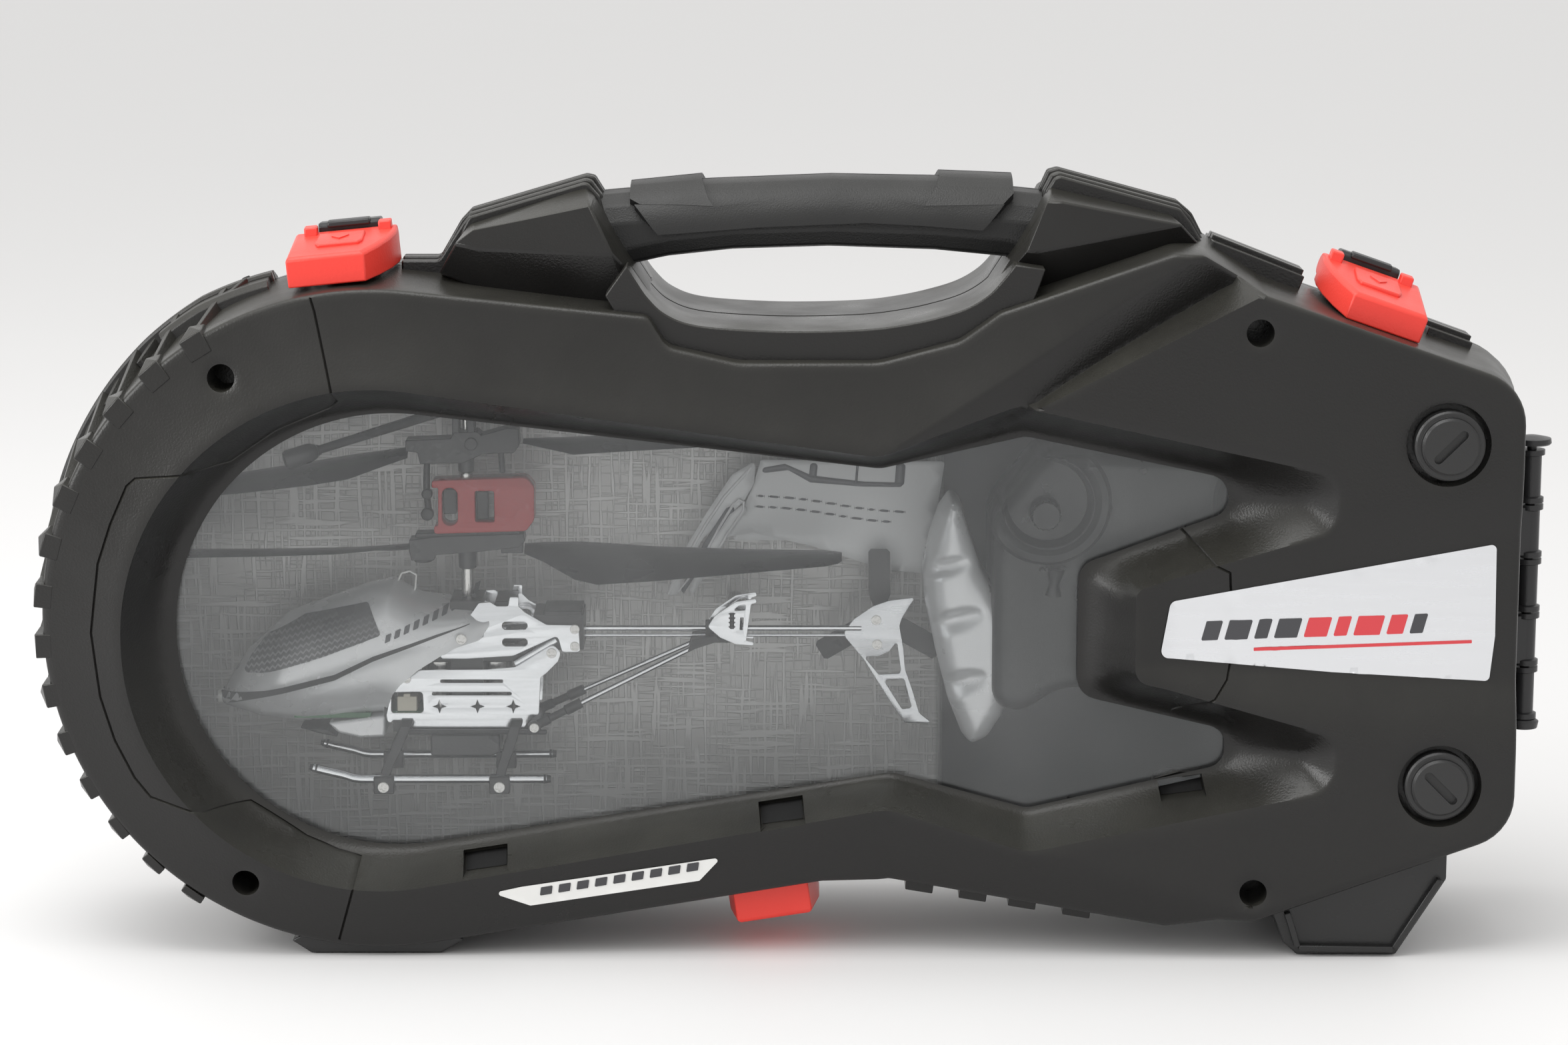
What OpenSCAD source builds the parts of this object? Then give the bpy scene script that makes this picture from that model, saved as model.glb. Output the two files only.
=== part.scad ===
// Moulded carry case with a window, holding a coaxial toy helicopter, its handset and a leaflet.
// X runs along the case, Y through its depth with the lid at -Y, Z is up. Units are millimetres.
$fn = 48;

/* [Case] */
// Depth of each half of the case
half_depth = 44; // [42:0.5:46]
// Wall thickness of the moulded shells
wall = 2.4; // [2:0.2:2.8]
// Gap between the two halves where they meet
parting_gap = 0.6; // [0.4:0.1:1]
// Height of the tread rail above the shell
rail_height = 3; // [2:0.5:3]
// Depth of the window behind the front face
window_depth = 18; // [16:0.5:19]

/* [Latches] */
// Width of each red latch
latch_w = 28; // [24:1:30]
// Height of each latch above the shell
latch_h = 15; // [14:0.5:16]
// Reach of each latch over the lid
latch_reach = 31; // [28:0.5:33]

/* [Helicopter] */
// Radius swept by the lower rotor blades
blade_reach = 117.5; // [105:0.5:118]
// Radius swept by the upper rotor blades, which the round end of the case limits
upper_reach = 110.5; // [100:0.5:111]
// Chord of a main rotor blade
blade_chord = 20; // [16:1:21]
// Pitch of a main rotor blade
blade_pitch = 15; // [8:1:18]
// Radius swept by the tail rotor
tail_reach = 22; // [16:1:23]
// Half the distance between the landing skids
skid_half = 16; // [12:1:18]

/* [Handset] */
// Width of the handset over both grips
handset_w = 138; // [130:1:142]

/* [Hidden] */
// Which node to draw
// Plane through the middle of the helicopter
hy = 8;
// Rotor mast position
mast_x = -103.5;
// Hinge line of the lid
hinge_x = 227.5;
hinge_r = 3.4;
pin_r = 1.5;
// The handset sits this much behind the plane its own outlines are drawn to
handset_y = 4;
// Motors stand this far before and behind the mast, where their pinions meet the gears
gear_r = 7.8;
pinion_r = 1.04;
motor_off = gear_r + pinion_r + 0.11;
// Level of the lid and of the window
front = -half_depth;
pane_y = front + window_depth;
// Flybar pivot above the upper hub
flybar_z = 164.5;
flybar_turn = 18;
flybar_tilt = 14.5;

// Screws through the lid's outer bosses, and the two quarter-turn locks
screw_spots = [[-172.8, 180], [-169, 24], [137.8, 193.8], [139, 21.4]];
lock_spots = [[195, 160], [195, 55]];

// ---- outlines: each corner is [x, z, fillet radius] ----
// Front face of the case, without the handle
face_edge = [
  [-228.5, -13.9, 101.4], [-228.5, 218.9, 101.4], [-45, 199.5, 4], [-39.5, 190.5, 6], [-18, 185.6, 20],
  [24, 185.6, 20], [48, 192, 12], [60, 200.6, 8], [112, 218, 6], [121, 217.4, 4], [139, 206.2, 5],
  [217, 178.8, 17], [217, 41.4, 16], [139, 13.4, 4], [128, 13.8, 5], [112, 11.2, 5], [28, 25.2, 8],
  [7, 24.8, 12]
];
// Crease where the front face drops into the window surround
bezel_edge = [
  [-204.6, 7.5, 77], [-204.6, 188.5, 77], [24, 156.6, 15], [66, 171.5, 10], [163, 150.2, 9],
  [162.5, 133.5, 8], [102, 115.3, 4], [102, 87.5, 5], [163.5, 70.2, 7], [163, 53.5, 9],
  [70, 34.2, 14], [27, 47.8, 14]
];
// Opening of the window, corner for corner with the crease
window_edge = [
  [-190.3, 20.8, 67], [-190.3, 175.5, 67], [25, 150, 10], [69, 160, 8], [131.5, 146.8, 7],
  [130.5, 136.5, 6], [85.6, 120, 7], [85.6, 79.5, 7], [131.5, 68.5, 6], [131, 57.5, 6],
  [70.5, 43.6, 8], [29, 55, 10]
];
// Arch of the carrying handle, seated in the top of the case
handle_edge = [
  [-121, 180, 1], [-121, 213.3, 2], [-109, 213.3, 4], [-101, 223.6, 4], [-64, 237, 5],
  [-57, 231.5, 3], [-30, 231.4, 20], [10, 233, 30], [50, 231.6, 20], [69, 231, 3], [76, 238.4, 5],
  [116, 228.6, 6], [125, 217.4, 5], [125, 180, 1]
];
// Opening under the handle
grip_gap = [
  [-53, 209.4, 3], [-20, 215.2, 30], [10, 216.2, 40], [42, 214.9, 30], [66, 211.4, 3],
  [57, 200, 10], [27, 190.2, 16], [-2, 188.6, 30], [-28, 191.6, 12], [-45, 199.6, 8]
];
// Grip cover over the bar of the handle
cover_edge = [
  [-56, 232.2, 1], [-30.5, 239, 2], [-27, 237.4, 2], [10, 239.2, 20], [42, 237.6, 1],
  [44, 239.5, 1], [65, 238, 2], [73, 233, 2], [66, 226.4, 3], [56, 218.4, 4], [10, 220.4, 30],
  [-40, 217.6, 4]
];
// Side view of the canopy
canopy_edge = [
  [-187, 66.2, 5], [-168.5, 90.6, 14], [-124, 105.4, 6], [-94.5, 95, 1.5], [-128.5, 74.6, 3],
  [-130.5, 59, 1.5], [-150, 59.4, 2], [-178.5, 63.6, 2]
];

// ---- helpers ----
function unit(v) = v / norm(v);
function flat(p) = [p[0], p[1]];
function prior(l, i) = l[(i + len(l) - 1) % len(l)];
function after(l, i) = l[(i + 1) % len(l)];
// Corner blended with an arc that touches both of its edges
function fillet(a, c, b, r, n) = let(
    u = unit(a - c), v = unit(b - c),
    half = acos(max(-1, min(1, u * v))) / 2,
    reach = r / tan(half),
    mid = c + unit(u + v) * r / sin(half),
    p = c + u * reach - mid,
    q = c + v * reach - mid,
    turn = (p[0] * q[1] - p[1] * q[0]) < 0 ? -1 : 1,
    sweep = turn * (180 - 2 * half)
  ) [for (k = [0 : n]) let(t = sweep * k / n)
    mid + [p[0] * cos(t) - p[1] * sin(t), p[0] * sin(t) + p[1] * cos(t)]];
function rounded(l) = [for (i = [0 : len(l) - 1])
  each (l[i][2] < 0.05 ? [flat(l[i])]
    : fillet(flat(prior(l, i)), flat(l[i]), flat(after(l, i)), l[i][2],
             l[i][2] > 50 ? 20 : l[i][2] > 9 ? 5 : 3))];
// Clockwise outline moved inwards by d, fillets kept concentric
function inset(l, d) = [for (i = [0 : len(l) - 1]) let(
    c = flat(l[i]),
    u = unit(c - flat(prior(l, i))),
    v = unit(flat(after(l, i)) - c),
    m = [u[1], -u[0]],
    n = [v[1], -v[0]],
    p = c + (m + n) * d / (1 + m * n),
    bend = u[0] * v[1] - u[1] * v[0]
  ) [p[0], p[1], max(0.6, l[i][2] + (bend < 0 ? -d : d))]];
function blend(a, b, t) = [for (i = [0 : len(a) - 1]) a[i] + (b[i] - a[i]) * t];

// Outline in the X-Z plane, filled from y0 to y1
module slab(points, y0, y1) translate([0, y1, 0]) rotate([90, 0, 0])
  linear_extrude(y1 - y0) polygon(points);
module block(x0, x1, y0, y1, z0, z1) translate([x0, y0, z0]) cube([x1 - x0, y1 - y0, z1 - z0]);
module rod_x(y, z, r, x0, x1) translate([x0, y, z]) rotate([0, 90, 0]) cylinder(h = x1 - x0, r = r);
module rod_y(x, z, r, y0, y1) translate([x, y1, z]) rotate([90, 0, 0]) cylinder(h = y1 - y0, r = r);
module rod_z(x, y, r, z0, z1) translate([x, y, z0]) cylinder(h = z1 - z0, r = r);
// Straight rod between two points
module strut(a, b, r) let(d = b - a, l = norm(d))
  translate(a) rotate([0, acos(d[2] / l), atan2(d[1], d[0])]) cylinder(h = l, r = r);

// ---- case halves ----
// One half of the case: an open box with its handle arch, tread rail and lugs
module half_shell() difference() {
  union() {
    slab(rounded(inset(face_edge, 1.2)), front, -parting_gap / 2);
    slab(rounded(face_edge), front + 2, -parting_gap / 2);
    slab(rounded(inset(face_edge, -1)), -16, -parting_gap / 2);
    difference() {
      slab(rounded(handle_edge), -14, -parting_gap / 2);
      slab(rounded(grip_gap), -15, 0);
    }
    intersection() {
      slab(rounded(inset(face_edge, -1 - rail_height)), -13, -parting_gap / 2);
      union() {
        slab([[-240, 20], [-240, 240], [-158, 240], [-153, 180], [-180, 100], [-150, 16]], -20, 5);
        slab([[130, 190], [130, 230], [154, 230], [148, 190]], -20, 5);
        slab([[192, 160], [196, 220], [240, 220], [240, 172], [200, 160]], -20, 5);
      }
    }
    for (a = [128 : 12 : 236]) translate([-126.5, 0, 102.5]) rotate([0, -a, 0])
      block(97, 105.5, -38, -12, -4, 4);
  }
  slab(rounded(inset(face_edge, wall)), front + wall, 1);
  slab(rounded(inset(face_edge, wall - 1)), -15, 2);
}
// Knuckles of the lid hinge: the lid has every second one
module knuckles(first) for (k = [first : 2 : 4]) let(z0 = 66.3 + k * 17.2, z1 = z0 + 16.6) {
  difference() {
    union() {
      rod_z(hinge_x, 0, hinge_r, z0, z1);
      block(216.4, hinge_x, -hinge_r, -parting_gap / 2 - 0.2, z0 + 0.5, z1 - 0.5);
    }
    rod_z(hinge_x, 0, pin_r + 0.06, z0 - 1, z1 + 1);
  }
}

module front_shell() color([0.06, 0.06, 0.06]) difference() {
  union() {
    half_shell();
    for (k = [0 : 2])
      slab(rounded(inset(blend(bezel_edge, window_edge, k / 3), -wall)), front + 1, front + 6 * k + 8.4);
    knuckles(1);
    for (c = lock_spots) rod_y(c[0], c[1], 14.6, front + 1, front + 9);
    for (c = screw_spots) rod_y(c[0], c[1], 6, front + 1, -1);
  }
  for (k = [0 : 3])
    slab(rounded(blend(bezel_edge, window_edge, k / 3)), front + 6 * k - 1, front + 6 * k + 6);
  for (c = lock_spots) {
    rod_y(c[0], c[1], 12.6, front - 1, front + 5);
    rod_y(c[0], c[1], 4.06, front + 4, front + 12);
  }
  for (c = screw_spots) {
    rod_y(c[0], c[1], 4.1, front - 1, front + 30);
    rod_y(c[0], c[1], 1.7, front + 29, 0);
  }
  for (c = [[-96, 29.6], [-5, 44.6], [118, 50.8]]) translate([c[0], front + 8.4, c[1]])
    rotate([0, -9, 0]) block(-7, 7, -4, 12, -2.6, 2.6);
}

module rear_shell() color([0.06, 0.06, 0.06]) difference() {
  union() {
    mirror([0, 1, 0]) half_shell();
    mirror([0, 1, 0]) knuckles(0);
    for (c = screw_spots) rod_y(c[0], c[1], 5, 0.4, half_depth - 1);
    for (x = [-150, 150]) block(x - 22, x + 22, half_depth - 1, half_depth + 2.5, 97, 115);
  }
  for (c = screw_spots) rod_y(c[0], c[1], 1.3, -1, 18);
}

module grip_cover_half() difference() {
  slab(rounded(cover_edge), -19, -parting_gap / 2);
  slab(rounded(inset(handle_edge, -0.05)), -14.05, 1);
}
module front_grip_cover() color([0.05, 0.05, 0.05]) grip_cover_half();
module rear_grip_cover() color([0.05, 0.05, 0.05]) mirror([0, 1, 0]) grip_cover_half();

// Two stand pads: one under the round end, one wedge under the lower right corner
module feet_half() difference() {
  union() {
    slab([[-150, 0], [-156, 4], [-150, 6.2], [-110, 6.2], [-104, 4], [-110, 0]], -40, -parting_gap / 2);
    slab([[143.5, 17], [149, 4], [154, 0], [184, 0], [199, 24], [199, 36]], -40, -parting_gap / 2);
  }
  slab(rounded(inset(face_edge, -1.05)), -50, 1);
}
module front_feet() color([0.05, 0.05, 0.05]) feet_half();
module rear_feet() color([0.05, 0.05, 0.05]) mirror([0, 1, 0]) feet_half();

module hinge_pin() color([0.1, 0.1, 0.1]) {
  rod_z(hinge_x, 0, pin_r, 65, 153.4);
  rod_z(hinge_x, 0, 6, 153.2, 156);
  rod_z(hinge_x, 0, 3.6, 62.6, 65.4);
}

module window_pane() color([0.8, 0.85, 0.85, 0.35])
  slab(rounded(inset(window_edge, -4)), pane_y + wall + 0.05, pane_y + wall + 1.1);

module side_label() color([0.72, 0.73, 0.75])
  slab(rounded([[108.9, 94.4, 2], [112.4, 112, 2], [211.3, 129.8, 2], [211.3, 87, 3], [162, 89.6, 3],
                [132, 92.4, 3]]), front - 0.35, front - 0.05);
module flag_sticker() color([0.92, 0.92, 0.9])
  slab(rounded([[-93.9, 21.4, 1], [-85, 23.3, 1], [-23, 32, 1], [-29.7, 24.4, 1], [-82, 16.8, 1]]),
       front - 0.3, front - 0.05);

module case_screws() color([0.6, 0.6, 0.62])
  for (c = screw_spots) {
    rod_y(c[0], c[1], 1.2, front + 31, 12);
    rod_y(c[0], c[1], 3.2, front + 28.4, front + 29.9);
  }

// ---- latches: built at the origin, u along the edge (X), n outwards (Z) ----
latch_pin_y = 8;
latch_pin_n = 9;
module latch_seat(i) {
  s = [[-136.4, 207, -5.6], [171.4, 195.6, 19.4], [-9, 22.6, 171.2]][i];
  translate([s[0], 0, s[1]]) rotate([0, s[2], 0]) children();
}
module latch(skirt) color([0.8, 0.17, 0.13]) difference() {
  union() {
    slab(rounded([[-latch_w / 2, skirt, 1], [-latch_w / 2, latch_h - 3, 1],
                  [-latch_w / 2 + 3, latch_h, 1], [latch_w / 2 - 3, latch_h, 1],
                  [latch_w / 2, latch_h - 3, 1], [latch_w / 2, skirt, 1]]), -latch_reach, 0);
    for (s = [-1, 1]) translate([s * (latch_w / 2 - 1.5), 0, 0]) {
      block(-1.5, 1.5, -1, latch_pin_y, latch_pin_n - 3.6, latch_pin_n + 3.6);
      rod_x(latch_pin_y, latch_pin_n, 3.6, -1.5, 1.5);
    }
  }
  block(-latch_w / 2 + 2.2, latch_w / 2 - 2.2, 2.4 - latch_reach, 1, skirt - 1, latch_h - 2.4);
  block(-latch_w, latch_w, 0, 20, -2, latch_pin_n - 3.6);
  rod_x(latch_pin_y, latch_pin_n, 1.05, -20, 20);
}
module latch_left() latch_seat(0) latch(1.6);
module latch_right() latch_seat(1) latch(4.2);
module latch_bottom() latch_seat(2) latch(1.6);
module latch_brackets() color([0.05, 0.05, 0.05]) difference() {
  for (i = [0 : 2]) latch_seat(i) difference() {
    union() {
      block(-10.4, 10.4, 2.2, 14, -1, 10);
      rod_x(latch_pin_y, latch_pin_n, 4.6, -10.4, 10.4);
    }
    rod_x(latch_pin_y, latch_pin_n, 1.02, -12, 12);
  }
  slab(rounded(inset(face_edge, -1.02)), -1, 50);
}
module latch_pins() color([0.6, 0.6, 0.62]) for (i = [0 : 2]) latch_seat(i)
  rod_x(latch_pin_y, latch_pin_n, 1, -latch_w / 2 + 0.2, latch_w / 2 - 0.2);

// Quarter-turn lock with a driver slot and an inner cam
module lock_plug(x, z) color([0.07, 0.07, 0.07]) translate([x, 0, z]) {
  difference() {
    union() {
      rod_y(0, 0, 10.6, front - 1.6, front + 4.6);
      rod_y(0, 0, 8.7, front - 2.5, front - 1);
      rod_y(0, 0, 4, front + 4, front + 14);
    }
    rotate([0, -45, 0]) block(-7, 7, front - 4, front + 1, -1, 1);
  }
  difference() {
    slab(rounded([[-4.4, -12, 3], [-4.4, 4.4, 3], [4.4, 4.4, 3], [4.4, -12, 3]]), front + 10, front + 13);
    rod_y(0, 0, 3.9, front + 9, front + 14);
  }
}
module lock_upper() lock_plug(195, 160);
module lock_lower() lock_plug(195, 55);

// ---- contents held by the insert ----
module tray_insert() color([0.55, 0.55, 0.55]) {
  difference() {
    slab(rounded(inset(face_edge, 9)), 38, 39.4);
    for (c = screw_spots) rod_y(c[0], c[1], 6, 30, 42);
  }
  rod_y(-84, 68, 2.4, 19.3, 38.2);
  rod_y(-122, 68, 2.4, 19.3, 38.2);
  rod_y(-20, 96, 2.4, 12.3, 38.2);
  for (x = [88, 136]) rod_y(x, 98, 5, 24.2 + handset_y, 38.2);
  rod_y(12, 128, 4, 28.2, 38.2);
}
module leaflet() color([0.92, 0.92, 0.9]) {
  slab(rounded([[-42, 99, 2], [-10, 144.6, 2], [48, 143.4, 1], [40.4, 106.4, 1], [8, 103, 3],
                [-33, 99, 2]]), 25, 28);
}

// ---- helicopter ----
module canopy() color([0.75, 0.76, 0.78]) difference() {
  for (s = [[0, 9], [1.6, 13], [3.4, 16]])
    slab(rounded(inset(canopy_edge, s[0])), hy - s[1], hy + s[1]);
  for (s = [[1.2, 8.6], [2.8, 12.2], [4.4, 14.8]])
    slab(rounded(inset(canopy_edge, s[0])), hy - s[1], hy + s[1]);
  block(-140, -90, hy - 10.2, hy + 10.2, 50, 92);
  block(-118, -90, hy - 10.2, hy + 10.2, 50, 112);
  rod_x(hy, 71, 2.25, -190, -174);
}
module canopy_panels() color([0.06, 0.06, 0.07]) for (s = [-1, 1]) translate([0, hy, 0])
  scale([1, 1, 1]) mirror([0, s > 0 ? 1 : 0, 0])
    slab(rounded([[-172, 73, 2], [-163, 83.6, 3], [-133, 92.6, 2], [-130, 86, 2]]), -16.5, -16.1);
module chin_light() color([0.95, 0.95, 0.9]) {
  rod_x(hy, 71, 2.2, -182.6, -176);
}
module circuit_board() color([0.1, 0.3, 0.15]) {
  block(-158, -134, hy - 8, hy + 8, 66, 67.6);
  block(-152, -142, hy - 5, hy + 5, 67.5, 70);
}
module heli_switch() color([0.08, 0.08, 0.08]) {
  block(-129.6, -128.6, hy - 9, hy + 9, 66, 74);
  block(-131.4, -129.5, hy - 1.4, hy + 1.4, 68.4, 71);
}
module battery() color([0.5, 0.52, 0.55]) difference() {
  block(-115.5, -92.5, hy - 7, hy + 7, 54.2, 60.5);
  for (x = [-115.6, -92.4]) block(x - 0.6, x + 0.6, hy - 8, hy + 8, 57.4, 58.4);
}
// Pairs of side plates, mirrored about the middle of the helicopter
module both_sides() for (s = [0, 1]) translate([0, hy, 0]) mirror([0, s, 0]) children();
module upper_frames() color([0.75, 0.76, 0.78]) both_sides() difference() {
  slab(rounded([[-96.5, 87, 2], [-97, 98, 3], [-86, 105, 3], [-76, 103.4, 3], [-66.6, 98.6, 2],
                [-66.6, 87.4, 2], [-78, 84, 3]]), -10, -8.6);
  for (z = [90.8, 96.2]) slab(rounded([[-92, z - 1, 0.9], [-92, z + 1, 0.9], [-84, z + 1, 0.9],
                                       [-84, z - 1, 0.9]]), -11, -8);
}
module lower_frames() color([0.75, 0.76, 0.78]) both_sides() difference() {
  slab(rounded([[-127.5, 62.8, 3], [-127.5, 80, 3], [-118, 83.4, 3], [-82, 83.4, 3], [-80.8, 63, 3]]),
       -10, -8.6);
  for (z = [74.6, 78.6]) slab(rounded([[-113, z - 1, 0.9], [-113, z + 1, 0.9], [-92, z + 1, 0.9],
                                       [-92, z - 1, 0.9]]), -11, -8);
}
module frame_spacers() color([0.1, 0.1, 0.1]) {
  block(-127, -80.8, hy - 8.55, hy + 8.55, 61.6, 65.4);
  difference() {
    block(-82.6, -67, hy - 8.55, hy + 8.55, 88, 99);
    block(-90, -83.6, hy - 7.5, hy + 7.5, 80, 110);
    rod_x(hy, 93.1, 0.95, -80, -60);
    rod_x(hy, 90.8, 0.55, -80, -60);
  }
}
module frame_screws() color([0.15, 0.15, 0.16]) both_sides() {
  for (c = [[-112, 70.2], [-100.2, 70.2], [-88.9, 70.2], [-69.7, 95.2], [-69.8, 89.8], [-77, 87.5]])
    rod_y(c[0], c[1], 1.3, -11, -10.05);
}
module mast_bearings() color([0.1, 0.1, 0.1]) difference() {
  union() {
    block(mast_x - 5, mast_x + 5, hy - 8.55, hy + 8.55, 100.6, 103.6);
    block(mast_x - 5, mast_x + 5, hy - 8.55, hy + 8.55, 85.2, 87.6);
    for (s = [-1, 1]) block(mast_x - 5, mast_x + 5, hy + s * 7.55 - 1, hy + s * 7.55 + 1, 65.45, 101);
  }
  rod_z(mast_x, hy, 2.05, 99, 104);
  rod_z(mast_x, hy, 1.05, 84, 89);
  rod_z(mast_x, hy, gear_r + 0.8, 88.6, 99.8);
}
module main_motors() color([0.6, 0.6, 0.62]) for (s = [-1, 1]) let(x = mast_x + s * motor_off)
  difference() {
    union() {
      rod_z(x, hy, 6, 66, 83.4);
      rod_z(x, hy, 2.6, 83.3, 84.6);
    }
    rod_z(x, hy, 0.5, 78, 90);
  }
// Spur gear drawn as a toothed disc
module spur(x, z0, z1, n, pitch_r, bore, phase) translate([x, hy, z0]) linear_extrude(z1 - z0)
  difference() {
    polygon([for (i = [0 : 4 * n - 1]) let(a = 360 * (i + 0.5) / (4 * n) + phase,
      r = (i % 4 < 2) ? pitch_r + 0.2 : pitch_r - 0.28) r * [cos(a), sin(a)]]);
    circle(r = bore);
  }
module front_pinion() color([0.75, 0.6, 0.3]) {
  spur(mast_x - motor_off, 88.9, 92.8, 8, pinion_r, 0.43, -90 / 8);
  rod_z(mast_x - motor_off, hy, 0.4, 80, 94);
}
module rear_pinion() color([0.75, 0.6, 0.3]) {
  spur(mast_x + motor_off, 95, 98.9, 8, pinion_r, 0.43, -90 / 8);
  rod_z(mast_x + motor_off, hy, 0.4, 80, 99.6);
}
module outer_shaft() color([0.6, 0.6, 0.62]) difference() {
  rod_z(mast_x, hy, 2, 94.6, 142.6);
  rod_z(mast_x, hy, 1.05, 90, 150);
}
module lower_gear() color([0.1, 0.1, 0.1]) spur(mast_x, 95.8, 98, 60, gear_r, 2.02, 180 / 120);
module lower_hub() color([0.12, 0.12, 0.12]) difference() {
  union() {
    block(mast_x - 17.6, mast_x + 17.4, hy - 4, hy + 4, 114.8, 122.2);
    rod_z(mast_x, hy, 5.4, 112, 122.9);
  }
  rod_z(mast_x, hy, 2.02, 110, 126);
  for (s = [-1, 1]) block(mast_x + s * 14 - 5, mast_x + s * 14 + 5, hy - 5, hy + 5, 117.2, 119.8);
}
// Two opposed blades, each with a root arm and a pitched flat aerofoil
module blade_pair(z, pitch, reach) for (a = [0, 180]) translate([mast_x, hy, z]) rotate([0, 0, a]) {
  difference() {
    block(9.6, 34, -2.4, 2.4, -1.1, 1.1);
    rod_z(14, 0, 1, -3, 3);
  }
  rotate([pitch, 0, 0]) translate([0, 0, -0.8]) linear_extrude(1.6)
    polygon([[28, -3], [36, -blade_chord * 0.55], [reach - 6, -blade_chord * 0.5],
             [reach - 1, -blade_chord * 0.3], [reach - 1, blade_chord * 0.3],
             [reach - 6, blade_chord * 0.42], [36, blade_chord * 0.45], [28, 3]]);
}
module lower_blades() color([0.16, 0.16, 0.17]) blade_pair(118.5, blade_pitch, blade_reach);
module rotor_cage() color([0.75, 0.1, 0.1]) difference() {
  union() {
    block(mast_x - 11, mast_x + 20.8, hy - 4.4, hy + 4.4, 123.4, 141.2);
  }
  block(mast_x - 8, mast_x - 3, hy - 6, hy + 6, 126.6, 138);
  block(mast_x + 3, mast_x + 17.6, hy - 6, hy + 6, 126.6, 138);
  rod_z(mast_x, hy, 2.02, 120, 150);
}
module inner_shaft() color([0.62, 0.62, 0.64]) rod_z(mast_x, hy, 1, 84.2, 174);
module upper_gear() color([0.1, 0.1, 0.1]) spur(mast_x, 89.8, 92, 60, gear_r, 1.02, 180 / 120);
module upper_hub() color([0.12, 0.12, 0.12]) difference() {
  union() {
    block(mast_x - 18.6, mast_x + 16.4, hy - 4, hy + 4, 145, 152.4);
    rod_z(mast_x, hy, 5, 143.6, 160);
    block(mast_x - 2.6, mast_x + 2.6, hy - 5.4, hy + 5.4, 159, 173.6);
  }
  rod_z(mast_x, hy, 1.02, 140, 180);
  for (s = [-1, 1]) block(mast_x + s * 14.2 - 5, mast_x + s * 14.2 + 5, hy - 5, hy + 5, 147.4, 150);
  translate([mast_x, hy, flybar_z]) block(-4, 4, -3.4, 3.4, -5, 5);
}
module upper_blades() color([0.16, 0.16, 0.17]) blade_pair(148.7, -blade_pitch, upper_reach);
// Frame of the flybar, tilted about its teeter axis
module flybar_place() translate([mast_x, hy, flybar_z]) rotate([0, -flybar_tilt, flybar_turn]) children();
module flybar() color([0.5, 0.5, 0.52]) flybar_place() {
  for (s = [-1, 1]) strut([s * 2.3, 0, 0], [s * 58, 0, 0], 0.7);
  difference() {
    rod_z(0, 0, 2.4, -1.4, 1.4);
    rod_z(0, 0, 1.5, -2, 2);
  }
  for (s = [0, 1]) mirror([0, s, 0]) rod_y(0, 0, 0.6, 1.9, 3.1);
}
module flybar_weights() color([0.2, 0.2, 0.2]) flybar_place() for (s = [-1, 1]) difference() {
  rod_x(0, 0, 3, s * 54.7 - 4.6, s * 54.7 + 4.6);
  rod_x(0, 0, 0.72, -70, 70);
}
module tail_booms() color([0.7, 0.7, 0.72]) {
  rod_x(hy, 93.1, 0.92, -79.6, 20);
  rod_x(hy, 90.8, 0.52, -79.6, 20);
}
module boom_struts() color([0.7, 0.7, 0.72]) both_sides() {
  strut([-82.4, -11.4, 64.2], [-30.8, -4, 88.8], 0.8);
}
module boom_bracket() color([0.1, 0.1, 0.1]) difference() {
  block(-32, -12.4, hy - 5.4, hy + 5.4, 87.4, 101);
  block(-28, -10, hy + 1.4, hy + 7, 84, 104);
  block(-28, -10, hy - 7, hy - 1.4, 84, 104);
  rod_x(hy, 93.1, 0.95, -40, 0);
  rod_x(hy, 90.8, 0.55, -40, 0);
  both_sides() {
    strut([-82.4, -11.4, 64.2], [-30.4, -3.94, 88.99], 0.86);
  }
}
module tail_fin() color([0.75, 0.76, 0.78]) difference() {
  union() {
    slab(rounded([[14.2, 92, 1], [37.4, 102.6, 1], [32.4, 94, 3], [34.6, 84, 3], [41.6, 62.8, 1],
                  [32.6, 63.6, 1], [22, 84, 4]]), hy - 0.6, hy + 0.6);
    block(14.6, 21, hy - 2, hy + 2, 89.4, 95);
  }
  slab(rounded([[29, 88, 1], [33.6, 78, 1], [29, 79, 1]]), hy - 2, hy + 2);
  rod_x(hy, 93.1, 0.95, 0, 20.4);
  rod_x(hy, 90.8, 0.55, 0, 20.4);
}
module tail_motor() color([0.5, 0.5, 0.52]) {
  difference() {
    rod_y(26, 94.3, 4, hy + 0.7, hy + 8.2);
    rod_y(26, 94.3, 0.6, hy + 4, hy + 10);
  }
}
module tail_rotor() color([0.1, 0.1, 0.1]) translate([26, hy, 94.3]) {
  rod_y(0, 0, 2.6, 9, 12.8);
  rod_y(0, 0, 0.55, 4.4, 10);
  for (a = [90 : 120 : 330]) rotate([0, -a, 0])
    slab(rounded([[1.4, -1.4, 0.4], [5, 3.2, 1], [tail_reach, 3.6, 2], [tail_reach, -2.6, 2],
                  [6, -3, 1]]), 10.2, 11.2);
}
module skid_legs() color([0.12, 0.12, 0.12]) both_sides() for (x = [-123, -89.4]) {
  slab(rounded([[x - 5, 61.5, 0.3], [x + 5, 61.5, 0.3], [x + 5, 60.6, 0.3], [x - 5, 60.6, 0.3]]),
       -skid_half + 6, -2);
  difference() {
    strut([x, -10.6, 61], [x - 1.6, -skid_half, 48.4], 1.8);
    rod_x(-skid_half, 48.4, 1.42, x - 20, x + 20);
  }
  difference() {
    rod_x(-skid_half, 48.4, 2.4, x - 4.4, x + 1.4);
    rod_x(-skid_half, 48.4, 1.42, x - 20, x + 20);
  }
}
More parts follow.
